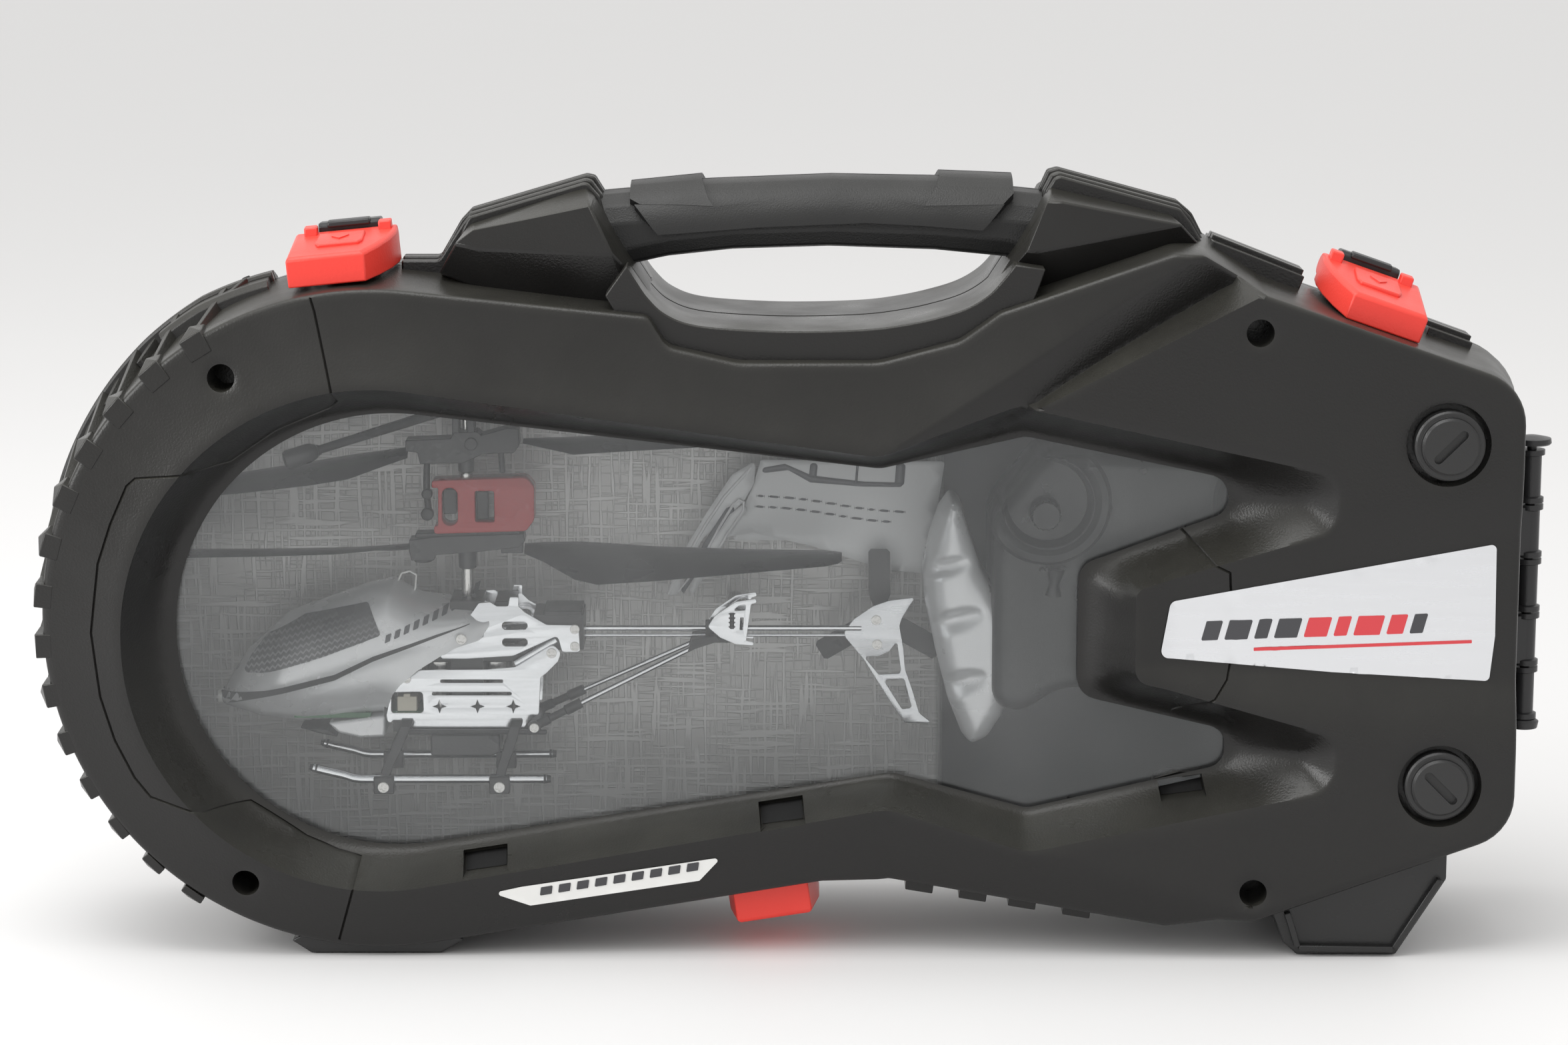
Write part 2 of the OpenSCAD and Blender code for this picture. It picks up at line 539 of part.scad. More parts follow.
module skid_tubes() color([0.7, 0.7, 0.72]) both_sides() {
  rod_x(-skid_half, 48.4, 1.4, -137.4, -77);
  strut([-137, -skid_half, 48.4], [-151, -skid_half, 52.4], 1.4);
}

// ---- handset ----
hs_x = 112;
module handset_body() color([0.07, 0.07, 0.07]) translate([0, handset_y, 0]) difference() {
  union() {
    slab(rounded([[-52, 64, 8], [-52, 132, 10], [-36, 152, 12], [36, 152, 12], [52, 132, 10],
                  [52, 64, 8], [30, 78, 14], [-30, 78, 14]] + [for (k = [0 : 7]) [hs_x, 0, 0]]), -18, 5);
    for (s = [-1, 1]) rod_y(hs_x + s * 36, 134, 22, -20, -17.9);
  }
  slab(rounded([[-49, 68, 6], [-49, 130, 8], [-34, 149, 10], [34, 149, 10], [49, 130, 8],
                [49, 68, 6], [30, 81, 14], [-30, 81, 14]] + [for (k = [0 : 7]) [hs_x, 0, 0]]), -15.6, 6);
  for (s = [-1, 1]) rod_y(hs_x + s * 36, 134, 12, -22, -15);
  for (s = [-1, 1]) rod_y(hs_x + s * 36, 134, 10.4, -16, -8);
  block(hs_x - 4, hs_x + 4, -19, -14, 96, 104);
}
module handset_back() color([0.07, 0.07, 0.07]) translate([0, handset_y, 0]) difference() {
  slab(rounded([[-52, 64, 8], [-52, 132, 10], [-36, 152, 12], [36, 152, 12], [52, 132, 10],
                [52, 64, 8], [30, 78, 14], [-30, 78, 14]] + [for (k = [0 : 7]) [hs_x, 0, 0]]), 5.1, 24);
  slab(rounded([[-49, 68, 6], [-49, 130, 8], [-34, 149, 10], [34, 149, 10], [49, 130, 8],
                [49, 68, 6], [30, 81, 14], [-30, 81, 14]] + [for (k = [0 : 7]) [hs_x, 0, 0]]), 5, 21.6);
}
module handset_grips() color([0.75, 0.76, 0.78]) for (s = [0, 1])
  translate([hs_x, handset_y, 0]) mirror([s, 0, 0]) slab(rounded([
    [-66, 136, 4], [-60, 136, 3], [-58, 118, 4], [-52.2, 112, 2], [-52.2, 64, 2], [-57, 58.6, 3],
    [-63, 64, 5], [-67, 78, 4], [-69, 94, 6], [-67.4, 104, 4], [-handset_w / 2 - 2, 113, 5]]), -14, 13);
module stick_shape(x) translate([x, handset_y - 14, 134]) {
  rod_y(0, 0, 2, -8, 2);
  rod_y(0, 0, 4.4, -9.6, -6);
  sphere(r = 5.2);
}
module left_stick() color([0.1, 0.1, 0.1]) {
  stick_shape(hs_x - 36);
  rod_x(handset_y - 14, 134, 1.4, hs_x - 43, hs_x - 29);
}
module right_gimbal() color([0.1, 0.1, 0.1]) translate([hs_x + 36, handset_y - 14, 134]) difference() {
  union() {
    rod_y(0, 0, 9, -1.4, 1.4);
    rod_x(0, 0, 1.2, -10, 10);
  }
  rod_y(0, 0, 5.7, -3, 3);
}
module right_stick() color([0.1, 0.1, 0.1]) {
  stick_shape(hs_x + 36);
  translate([hs_x + 36, handset_y - 14, 134]) rod_z(0, 0, 1, -5.6, 5.6);
}
module handset_switch() color([0.12, 0.12, 0.12]) translate([0, handset_y, 0]) {
  block(hs_x - 1.6, hs_x + 1.6, -20, -16, 96.6, 100);
  block(hs_x - 3.4, hs_x + 3.4, -15.4, -14.4, 94.6, 102);
}

rear_shell();
rear_grip_cover();
rear_feet();
hinge_pin();
latch_brackets();
latch_pins();
front_shell();
front_grip_cover();
front_feet();
window_pane();
side_label();
flag_sticker();
latch_left();
latch_right();
latch_bottom();
lock_upper();
lock_lower();
case_screws();
tray_insert();
leaflet();
canopy();
canopy_panels();
chin_light();
circuit_board();
heli_switch();
battery();
upper_frames();
lower_frames();
frame_spacers();
frame_screws();
mast_bearings();
main_motors();
front_pinion();
rear_pinion();
outer_shaft();
lower_gear();
lower_hub();
lower_blades();
rotor_cage();
inner_shaft();
upper_gear();
upper_hub();
upper_blades();
flybar();
flybar_weights();
tail_booms();
boom_struts();
boom_bracket();
tail_fin();
tail_motor();
tail_rotor();
skid_legs();
skid_tubes();
handset_body();
handset_back();
handset_grips();
left_stick();
right_gimbal();
right_stick();
handset_switch();
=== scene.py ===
import math

import bmesh
import bpy
import numpy as np
from mathutils import Matrix, Vector
from mathutils.geometry import delaunay_2d_cdt


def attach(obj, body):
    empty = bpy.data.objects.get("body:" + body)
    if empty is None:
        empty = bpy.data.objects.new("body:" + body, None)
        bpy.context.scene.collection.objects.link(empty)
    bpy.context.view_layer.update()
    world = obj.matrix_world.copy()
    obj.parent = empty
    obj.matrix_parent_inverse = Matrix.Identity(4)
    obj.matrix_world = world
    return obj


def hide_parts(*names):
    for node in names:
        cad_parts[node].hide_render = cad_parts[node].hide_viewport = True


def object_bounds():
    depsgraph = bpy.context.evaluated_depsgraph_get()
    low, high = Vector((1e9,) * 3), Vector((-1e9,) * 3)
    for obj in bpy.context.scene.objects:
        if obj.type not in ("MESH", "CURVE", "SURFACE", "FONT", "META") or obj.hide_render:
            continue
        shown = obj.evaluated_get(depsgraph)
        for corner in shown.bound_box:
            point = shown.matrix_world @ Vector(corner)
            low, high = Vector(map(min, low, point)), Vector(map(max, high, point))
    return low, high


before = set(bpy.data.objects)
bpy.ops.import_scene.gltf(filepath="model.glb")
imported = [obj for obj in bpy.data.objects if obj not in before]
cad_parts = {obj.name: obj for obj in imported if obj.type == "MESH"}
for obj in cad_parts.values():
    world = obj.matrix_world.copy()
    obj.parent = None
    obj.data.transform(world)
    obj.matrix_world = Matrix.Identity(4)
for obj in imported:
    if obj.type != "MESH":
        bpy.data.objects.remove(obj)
cad_low, cad_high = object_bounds()
MM = 0.001
HALF = 44.0      # half of the closed case's depth, from the parting plane to a face
HY = 8.0         # middle plane of the helicopter
MAST = -103.5    # X of the rotor mast
PANE_Y = -23.5   # front of the window pane
SKID = 16.0      # from the middle plane to a skid


# ---------------------------------------------------------------- materials
def add_node(tree, kind, inputs=(), **props):
    """New shader node; an input is either its value or the socket that feeds it."""
    n = tree.nodes.new("ShaderNode" + kind)
    for key, value in props.items():
        setattr(n, key, value)
    for key, value in dict(inputs).items():
        if isinstance(value, bpy.types.NodeSocket):
            tree.links.new(value, n.inputs[key])
        else:
            n.inputs[key].default_value = value
    return n


def noise(tree, vector, scale, detail, roughness=0.5):
    return add_node(tree, "TexNoise", {"Vector": vector, "Scale": scale, "Detail": detail,
                                       "Roughness": roughness}).outputs["Fac"]


def remap(tree, value, low, high, to_low=0.0, to_high=1.0):
    return add_node(tree, "MapRange", {"Value": value, "From Min": low, "From Max": high,
                                       "To Min": to_low, "To Max": to_high}).outputs["Result"]


def blend(tree, factor, a, b, **props):
    return add_node(tree, "Mix", {"Factor": factor, "A": a, "B": b}, data_type="RGBA",
                    **props).outputs["Result"]


def maths(tree, operation, *values):
    return add_node(tree, "Math", enumerate(values), operation=operation).outputs["Value"]


def bumps(tree, height, strength):
    """Fine relief in the look of the principled shader."""
    bump = add_node(tree, "Bump", {"Strength": strength, "Distance": 0.0004, "Height": height})
    tree.links.new(bump.outputs["Normal"], tree.nodes["Principled BSDF"].inputs["Normal"])


def material(name, color, rough, metallic=0.0, grain=0.0, grain_scale=900.0, mottle=0.12,
             mottle_scale=60.0, rough_var=0.12, dust_and_sheen=None, dust_and_sheen_amount=0.0, coat=0.0, spec=0.5,
             streak=None):
    """Mottled colour and roughness, with an optional grain and an optional lighter tint on what faces up,
    partly dust and partly a painted sheen of the light from above.
    """
    m = bpy.data.materials.new(name)
    m.use_nodes = True
    t = m.node_tree
    b = t.nodes["Principled BSDF"]
    for key, value in (("Metallic", metallic), ("Specular IOR Level", spec), ("Coat Weight", coat),
                       ("Coat Roughness", 0.15)):
        b.inputs[key].default_value = value
    place = add_node(t, "TexCoord").outputs["Object"]
    mapped = add_node(t, "Mapping", {"Scale": streak or (1, 1, 1), "Vector": place}).outputs["Vector"]
    big = noise(t, mapped, mottle_scale, 6.0)
    c = np.array(color, float)
    last = blend(t, big, (*(c * (1 - mottle)), 1), (*np.minimum(c * (1 + mottle), 1), 1))
    # Painted sheen with dust: surfaces that face up are lightened, partly as dust and partly as painted
    # light from above.
    if dust_and_sheen is not None:
        normal = add_node(t, "NewGeometry").outputs["Normal"]
        up = add_node(t, "SeparateXYZ", {"Vector": normal}).outputs["Z"]
        patches = noise(t, place, 24.0, 8.0, 0.65)
        amount = maths(t, "MULTIPLY", remap(t, up, -0.05, 0.85, 0.0, dust_and_sheen_amount),
                       remap(t, patches, 0.3, 0.7, 0.45))
        last = blend(t, amount, last, (*dust_and_sheen, 1))
    t.links.new(last, b.inputs["Base Color"])
    uneven = remap(t, big, 0.3, 0.7, max(0.02, rough - rough_var / 2), min(1.0, rough + rough_var / 2))
    t.links.new(uneven, b.inputs["Roughness"])
    if grain > 0:
        bumps(t, noise(t, mapped, grain_scale, 3.0), grain)
    return m


# The up-facing tints of the case, grip and latch materials below are partly dust and partly a painted sheen
# of the light from above.
OLIVE_DUST_AND_SHEEN = (0.10, 0.098, 0.082)
M_CASE = material("case_black", (0.0088, 0.0083, 0.0079), 0.33, grain=0.26, grain_scale=1500, dust_and_sheen=OLIVE_DUST_AND_SHEEN,
                  dust_and_sheen_amount=0.36, mottle_scale=35, rough_var=0.2, spec=0.42)
M_GRIP = material("grip_black", (0.012, 0.012, 0.012), 0.42, grain=0.4, grain_scale=2200,
                  dust_and_sheen=(0.08, 0.08, 0.075), dust_and_sheen_amount=0.35, spec=0.4)
M_FOOT = material("foot_black", (0.014, 0.014, 0.014), 0.3, grain=0.15, grain_scale=1500, rough_var=0.2)
M_RED = material("latch_red", (0.84, 0.045, 0.03), 0.38, grain=0.2, grain_scale=1400, mottle=0.06,
                 dust_and_sheen=(0.85, 0.2, 0.15), dust_and_sheen_amount=0.25)
M_BLACK = material("trim_black", (0.016, 0.016, 0.017), 0.35, grain=0.15, grain_scale=1800)
M_LOCK = material("lock_black", (0.018, 0.018, 0.018), 0.38, grain=0.2, grain_scale=1500)
M_STEEL = material("steel", (0.62, 0.61, 0.59), 0.22, metallic=1.0, grain=0.1, grain_scale=1500)
M_POLISH = material("polished_alu", (0.80, 0.81, 0.83), 0.14, metallic=1.0, grain=0.05, grain_scale=900,
                    streak=(1, 1, 14))
M_SILVER = material("silver_paint", (0.74, 0.745, 0.755), 0.28, metallic=0.35, grain=0.1, grain_scale=3500,
                    coat=0.4, mottle=0.05)
M_HANDGRIP = material("handgrip_silver", (0.74, 0.745, 0.755), 0.30, metallic=0.35, grain=0.12,
                      grain_scale=3000, coat=0.3, mottle=0.05)
M_SLABEL = material("label_silver", (0.74, 0.75, 0.77), 0.24, metallic=0.9, grain=0.06,
                    streak=(2, 1, 40), mottle=0.05, mottle_scale=18, grain_scale=500)
M_WHITE = material("label_white", (0.80, 0.80, 0.78), 0.35, grain=0.05, mottle=0.03)
M_PRINT = material("label_print", (0.05, 0.05, 0.055), 0.4, grain=0.05, mottle=0.05)
M_PRINT_RED = material("label_print_red", (0.62, 0.05, 0.06), 0.4, grain=0.05, mottle=0.05)
M_BLADE = material("blade_dark", (0.022, 0.022, 0.024), 0.3, grain=0.05, grain_scale=1200)
M_CAGE = material("cage_red", (0.42, 0.012, 0.015), 0.28, grain=0.1, grain_scale=1200, coat=0.3)
M_BOARD = material("board_green", (0.03, 0.14, 0.05), 0.35, grain=0.3, grain_scale=1200, mottle=0.4)
M_BRASS = material("brass", (0.75, 0.55, 0.22), 0.25, metallic=1.0, grain=0.1)
M_LAMP = material("lamp_clear", (0.75, 0.75, 0.72), 0.12, grain=0.05, coat=0.6)
M_CELL = material("cell_wrap", (0.028, 0.028, 0.03), 0.3, grain=0.2, grain_scale=800)
M_HANDSET = material("handset_black", (0.014, 0.014, 0.015), 0.34, grain=0.08, grain_scale=1800,
                     rough_var=0.16)
M_IVORY = material("plug_ivory", (0.62, 0.58, 0.48), 0.45, grain=0.1)
M_FIN = material("fin_alu", (0.66, 0.67, 0.69), 0.24, metallic=1.0, grain=0.08, grain_scale=900,
                 streak=(1, 1, 14))
M_PRINT_GREY = material("print_grey", (0.10, 0.10, 0.11), 0.4, grain=0.05, mottle=0.05)


def visor_material():
    """Dark tint with a fine zig-zag that fades out towards the top."""
    m = material("visor_tint", (0.06, 0.06, 0.065), 0.3, grain=0.05, coat=0.4)
    t = m.node_tree
    base = t.nodes["Principled BSDF"].inputs["Base Color"]
    at = add_node(t, "SeparateXYZ", {"Vector": add_node(t, "TexCoord").outputs["Object"]})
    x, z = at.outputs["X"], at.outputs["Z"]
    zigzag = maths(t, "PINGPONG", maths(t, "MULTIPLY", x, 1000.0), 0.9)
    row = maths(t, "ADD", maths(t, "MULTIPLY", z, 1000.0), zigzag)
    row = maths(t, "ADD", row, maths(t, "MULTIPLY", x, -340.0))
    lines = maths(t, "GREATER_THAN", maths(t, "PINGPONG", row, 0.95), 0.62)
    fade = maths(t, "MULTIPLY_ADD", z, -60.0, 6.1)
    fade = maths(t, "MINIMUM", maths(t, "MAXIMUM", fade, 0.0), 1.0)
    amount = maths(t, "MULTIPLY", lines, fade)
    t.links.new(blend(t, amount, base.links[0].from_socket, (0.30, 0.30, 0.31, 1)), base)
    return m


def glass_material():
    """Clear sheet that mirrors at a slant, with a faint uneven haze."""
    m = bpy.data.materials.new("pane_clear")
    m.use_nodes = True
    t = m.node_tree
    t.nodes.remove(t.nodes["Principled BSDF"])
    see = add_node(t, "BsdfTransparent", {"Color": (0.97, 0.975, 0.975, 1)})
    gloss = add_node(t, "BsdfPrincipled", {"Base Color": (0.75, 0.77, 0.78, 1), "Roughness": 0.03,
                                           "Metallic": 1.0})
    haze = add_node(t, "BsdfDiffuse", {"Color": (0.85, 0.86, 0.87, 1)})
    slant = add_node(t, "Fresnel", {"IOR": 1.55}).outputs["Fac"]
    smear = noise(t, add_node(t, "TexCoord").outputs["Object"], 26.0, 5.0)
    clear = add_node(t, "MixShader", {"Fac": maths(t, "MULTIPLY", slant, 0.85), 1: see.outputs["BSDF"],
                                      2: gloss.outputs["BSDF"]})
    hazy = add_node(t, "MixShader", {"Fac": remap(t, smear, 0.35, 0.75, 0.02, 0.045),
                                     1: clear.outputs["Shader"], 2: haze.outputs["BSDF"]})
    t.links.new(hazy.outputs["Shader"], t.nodes["Material Output"].inputs["Surface"])
    return m


def insert_material():
    """Satin sheet with a fine cross-hatched weave; its right part is smooth and dark."""
    m = material("insert_weave", (0.62, 0.61, 0.60), 0.36, metallic=0.1, mottle=0.05, mottle_scale=14)
    t = m.node_tree
    base = t.nodes["Principled BSDF"].inputs["Base Color"]
    place = add_node(t, "TexCoord").outputs["Object"]
    threads = []
    for stretch in ((820, 1, 42), (42, 1, 820)):
        along = add_node(t, "Mapping", {"Scale": stretch, "Vector": place}).outputs["Vector"]
        threads.append(remap(t, noise(t, along, 1.0, 1.0), 0.52, 0.60))
    weave = maths(t, "MAXIMUM", *threads)
    right = remap(t, add_node(t, "SeparateXYZ", {"Vector": place}).outputs["X"], 0.044, 0.047)
    lift = blend(t, weave, base.links[0].from_socket, (0.12, 0.12, 0.12, 1), blend_type="ADD")
    t.links.new(blend(t, right, lift, (0.035, 0.035, 0.037, 1)), base)
    bumps(t, maths(t, "MULTIPLY", weave, maths(t, "SUBTRACT", 1.0, right)), 0.8)
    return m


M_VISOR = visor_material()
M_PANE = glass_material()
M_PAPER = material("leaflet_paper", (0.74, 0.745, 0.75), 0.6, grain=0.15, grain_scale=700, mottle=0.04)
M_WEAVE = insert_material()
# Painted shade: near-black matte colour for the slot bottoms.
M_SLOT_SHADE = material("slot_painted_shade", (0.0025, 0.0025, 0.0025), 0.8, grain=0.1)

# ---------------------------------------------------------------- outlines, corners are (x, z, radius)
FACE = [(-228.5, -13.9, 101.4), (-228.5, 218.9, 101.4), (-45, 199.5, 4), (-39.5, 190.5, 6),
        (-18, 185.6, 20), (24, 185.6, 20), (48, 192, 12), (60, 200.6, 8), (112, 218, 6),
        (121, 217.4, 4), (139, 206.2, 5), (217, 178.8, 17), (217, 41.4, 16), (139, 13.4, 4),
        (128, 13.8, 5), (112, 11.2, 5), (28, 25.2, 8), (7, 24.8, 12)]
BEZEL = [(-204.6, 7.5, 77), (-204.6, 188.5, 77), (24, 156.6, 15), (66, 171.5, 10), (163, 150.2, 9),
         (162.5, 133.5, 8), (102, 115.3, 4), (102, 87.5, 5), (163.5, 70.2, 7), (163, 53.5, 9),
         (70, 34.2, 14), (27, 47.8, 14)]
WINDOW = [(-190.3, 20.8, 67), (-190.3, 175.5, 67), (25, 150, 10), (69, 160, 8), (131.5, 146.8, 7),
          (130.5, 136.5, 6), (85.6, 120, 7), (85.6, 79.5, 7), (131.5, 68.5, 6), (131, 57.5, 6),
          (70.5, 43.6, 8), (29, 55, 10)]


def unit(v):
    return v / np.linalg.norm(v)


def rounded(corners, step=2.6):
    out = []
    k = len(corners)
    for i in range(k):
        a = np.array(corners[i - 1][:2], float)
        c = np.array(corners[i][:2], float)
        b = np.array(corners[(i + 1) % k][:2], float)
        r = corners[i][2]
        if r < 0.05:
            out.append(c)
            continue
        u, v = unit(a - c), unit(b - c)
        half = math.acos(max(-1.0, min(1.0, float(u @ v)))) / 2
        reach = r / math.tan(half)
        mid = c + unit(u + v) * r / math.sin(half)
        p = c + u * reach - mid
        q = c + v * reach - mid
        turn = -1 if p[0] * q[1] - p[1] * q[0] < 0 else 1
        sweep = turn * (math.pi - 2 * half)
        n = max(3, int(abs(sweep) * r / step), int(abs(sweep) / 0.16))
        for j in range(n + 1):
            s = sweep * j / n
            out.append(mid + np.array([p[0] * math.cos(s) - p[1] * math.sin(s),
                                       p[0] * math.sin(s) + p[1] * math.cos(s)]))
    return np.array(out)


def inset(corners, d):
    out = []
    k = len(corners)
    for i in range(k):
        a = np.array(corners[i - 1][:2], float)
        c = np.array(corners[i][:2], float)
        b = np.array(corners[(i + 1) % k][:2], float)
        u, v = unit(c - a), unit(b - c)
        m, n = np.array([u[1], -u[0]]), np.array([v[1], -v[0]])
        p = c + (m + n) * d / (1 + float(m @ n))
        bend = u[0] * v[1] - u[1] * v[0]
        out.append((p[0], p[1], max(0.6, corners[i][2] + (-d if bend < 0 else d))))
    return out


def dense(loop, step):
    """Points added along the long edges of a closed loop."""
    out = []
    k = len(loop)
    for i in range(k):
        a, b = loop[i], loop[(i + 1) % k]
        n = max(1, int(round(np.linalg.norm(b - a) / step)))
        for j in range(n):
            out.append(a + (b - a) * j / n)
    return np.array(out)


def seg_distance(pts, loop, closed=True):
    a = loop if closed else loop[:-1]
    b = np.roll(loop, -1, axis=0) if closed else loop[1:]
    best = np.full(len(pts), 1e9)
    for p, q in zip(a, b):
        e = q - p
        t = np.clip(((pts - p) @ e) / max(1e-9, float(e @ e)), 0, 1)
        best = np.minimum(best, np.hypot(*(pts - p - t[:, None] * e).T))
    return best


def inside(pts, loop):
    x, z = pts[:, 0], pts[:, 1]
    r = np.zeros(len(pts), bool)
    for p, q in zip(loop, np.roll(loop, -1, axis=0)):
        hit = (p[1] > z) != (q[1] > z)
        with np.errstate(divide="ignore", invalid="ignore"):
            cx = (q[0] - p[0]) * (z - p[1]) / (q[1] - p[1]) + p[0]
        r ^= hit & (x < cx)
    return r


def side_of(pts, a, b):
    """Signed distance from the line a to b, positive to its right."""
    a, b = np.array(a, float), np.array(b, float)
    e = unit(b - a)
    w = pts - a
    return w[:, 0] * e[1] - w[:, 1] * e[0]


def smin(a, b, k=1.0):
    h = np.clip(0.5 + 0.5 * (b - a) / k, 0, 1)
    return b + (a - b) * h - k * h * (1 - h)


def smax(a, b, k=1.0):
    return -smin(-a, -b, k)


# ---------------------------------------------------------------- mesh helpers
def linked(name, data):
    """Object of the given data, put in the scene."""
    ob = bpy.data.objects.new(name, data)
    bpy.context.scene.collection.objects.link(ob)
    return ob


def mesh_object(name, verts, faces, mat, smooth=32.0):
    me = bpy.data.meshes.new(name)
    me.from_pydata([tuple(float(c) * MM for c in v) for v in verts], [], [list(map(int, f)) for f in faces])
    me.validate()
    me.update()
    ob = linked(name, me)
    me.materials.append(mat)
    if smooth:
        sharpen(me, smooth)
    return ob


def sharpen(me, angle):
    bm = bmesh.new()
    bm.from_mesh(me)
    bmesh.ops.recalc_face_normals(bm, faces=bm.faces)
    lim = math.radians(angle)
    for f in bm.faces:
        f.smooth = True
    for e in bm.edges:
        e.smooth = not (len(e.link_faces) == 2 and e.calc_face_angle(0) > lim)
    bm.to_mesh(me)
    bm.free()


def done(ob, body, *nodes, slot=None):
    for v in ob.data.vertices:
        v.co.x, v.co.z = max(v.co.x, cad_low[0] + 0.0001), max(v.co.z, 0.0001)
    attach(ob, body)
    if nodes:
        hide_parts(*nodes)
    return ob


def bevel(ob, width, segments=2, angle=30):
    m = ob.modifiers.new("bevel", "BEVEL")
    m.width = width * MM
    m.segments = segments
    m.limit_method = "ANGLE"
    m.angle_limit = math.radians(angle)
    m.use_clamp_overlap = True
    m.harden_normals = False
    return ob


def bake(ob):
    """Applies the modifiers of a piece."""
    dg = bpy.context.evaluated_depsgraph_get()
    me = bpy.data.meshes.new_from_object(ob.evaluated_get(dg))
    ob.modifiers.clear()
    ob.data = me
    return ob


def thicken(ob, thickness, offset):
    """Wall of the given thickness out of a sheet."""
    m = ob.modifiers.new("wall", "SOLIDIFY")
    m.thickness = thickness * MM
    m.offset = offset
    return bake(ob)


class Kit:
    """Collects solids of one piece."""

    def __init__(self):
        self.v = []
        self.f = []

    def add(self, verts, faces):
        o = len(self.v)
        self.v += [tuple(map(float, p)) for p in verts]
        self.f += [[o + int(i) for i in f] for f in faces]

    def prism(self, loop, y0, y1):
        """Outline in X-Z, from y0 to y1."""
        k = len(loop)
        v = [(p[0], y, p[1]) for y in (y0, y1) for p in loop]
        f = [list(range(k)), list(range(2 * k - 1, k - 1, -1))]
        f += [[i, k + i, k + (i + 1) % k, (i + 1) % k] for i in range(k)]
        self.add(v, f)

    def loft(self, rings):
        """Closed rings of equally many points, joined in order and capped at both ends."""
        k = len(rings[0])
        last = (len(rings) - 1) * k
        f = []
        for o in range(0, last, k):
            for i in range(k):
                j = (i + 1) % k
                f.append([o + i, o + j, o + k + j, o + k + i])
        f.append(list(range(k - 1, -1, -1)))
        f.append([last + i for i in range(k)])
        self.add([p for r in rings for p in r], f)

    def tube(self, path, radius, n=16):
        """Round bar along a path; radius may be one per point."""
        path = [np.array(p, float) for p in path]
        rad = radius if hasattr(radius, "__len__") else [radius] * len(path)
        d0 = unit(path[1] - path[0])
        up = np.array([0, 1.0, 0]) if abs(d0[1]) < 0.9 else np.array([1.0, 0, 0])
        u = unit(np.cross(up, d0))
        rings = []
        for i, p in enumerate(path):
            if i == 0:
                d = d0
            elif i == len(path) - 1:
                d = unit(path[-1] - path[-2])
            else:
                d = unit(unit(path[i + 1] - p) + unit(p - path[i - 1]))
            u = unit(u - d * float(u @ d))
            w = np.cross(d, u)
            rings.append([p + rad[i] * (math.cos(t) * u + math.sin(t) * w)
                          for t in np.linspace(0, 2 * math.pi, n, endpoint=False)])
        self.loft(rings)

    def lathe(self, base, axis, profile, n=32):
        """Turned shape: profile is (distance along the axis, radius)."""
        base, d = np.array(base, float), unit(np.array(axis, float))
        up = np.array([0, 0, 1.0]) if abs(d[2]) < 0.9 else np.array([1.0, 0, 0])
        u = unit(np.cross(up, d))
        w = np.cross(d, u)
        self.loft([[base + d * s + r * (math.cos(t) * u + math.sin(t) * w)
                    for t in np.linspace(0, 2 * math.pi, n, endpoint=False)] for s, r in profile])

    def hull(self, pts):
        bm = bmesh.new()
        for p in pts:
            bm.verts.new(p)
        r = bmesh.ops.convex_hull(bm, input=bm.verts)
        dead = [g for g in r["geom_interior"] if isinstance(g, bmesh.types.BMVert)]
        bmesh.ops.delete(bm, geom=dead, context="VERTS")
        bmesh.ops.dissolve_limit(bm, angle_limit=0.02, verts=bm.verts, edges=bm.edges)
        bm.verts.ensure_lookup_table()
        bm.verts.index_update()
        self.add([tuple(x.co) for x in bm.verts], [[x.index for x in fc.verts] for fc in bm.faces])
        bm.free()

    def box(self, x0, x1, y0, y1, z0, z1):
        self.hull([(x, y, z) for x in (x0, x1) for y in (y0, y1) for z in (z0, z1)])

    def move(self, start, fn):
        for i in range(start, len(self.v)):
            self.v[i] = tuple(fn(np.array(self.v[i])))

    def object(self, name, mat, smooth=32.0):
        return mesh_object(name, self.v, self.f, mat, smooth)


def plate(name, outer, holes, y0, y1, mat, edge=0.25):
    """Flat plate in X-Z with holes, from a filled curve, its edges eased."""
    cu = bpy.data.curves.new(name, "CURVE")
    cu.dimensions = "2D"
    cu.fill_mode = "BOTH"
    for loop in [outer] + list(holes):
        sp = cu.splines.new("POLY")
        sp.points.add(len(loop) - 1)
        for p, q in zip(sp.points, loop):
            p.co = (q[0] * MM, q[1] * MM, 0, 1)
        sp.use_cyclic_u = True
    cu.extrude = max(1e-5, (abs(y1 - y0) / 2 - edge) * MM)
    cu.bevel_depth = edge * MM
    cu.bevel_resolution = 1
    cu.offset = -edge * MM
    tmp = linked(name + "_c", cu)
    bpy.context.view_layer.update()
    me = bpy.data.meshes.new_from_object(tmp)
    bpy.data.objects.remove(tmp)
    bm = bmesh.new()
    bm.from_mesh(me)
    bmesh.ops.remove_doubles(bm, verts=bm.verts, dist=1e-6)
    for v in bm.verts:
        x, z, h = v.co
        v.co = (x, (y0 + y1) / 2 * MM + h, z)
    bm.to_mesh(me)
    bm.free()
    ob = linked(name, me)
    me.materials.clear()
    me.materials.append(mat)
    sharpen(me, 32)
    return ob


def join(name, obs):
    """One object out of several, keeping each one's material."""
    bm = bmesh.new()
    mats = []
    for o in obs:
        me = o.data
        start = len(bm.faces)
        bm.from_mesh(me)
        bm.faces.ensure_lookup_table()
        idx = []
        for m in me.materials:
            if m not in mats:
                mats.append(m)
            idx.append(mats.index(m))
        for f in bm.faces[start:]:
            f.material_index = idx[min(f.material_index, len(idx) - 1)]
    me = bpy.data.meshes.new(name)
    bm.to_mesh(me)
    bm.free()
    for m in mats:
        me.materials.append(m)
    for o in obs:
        bpy.data.objects.remove(o)
    return linked(name, me)


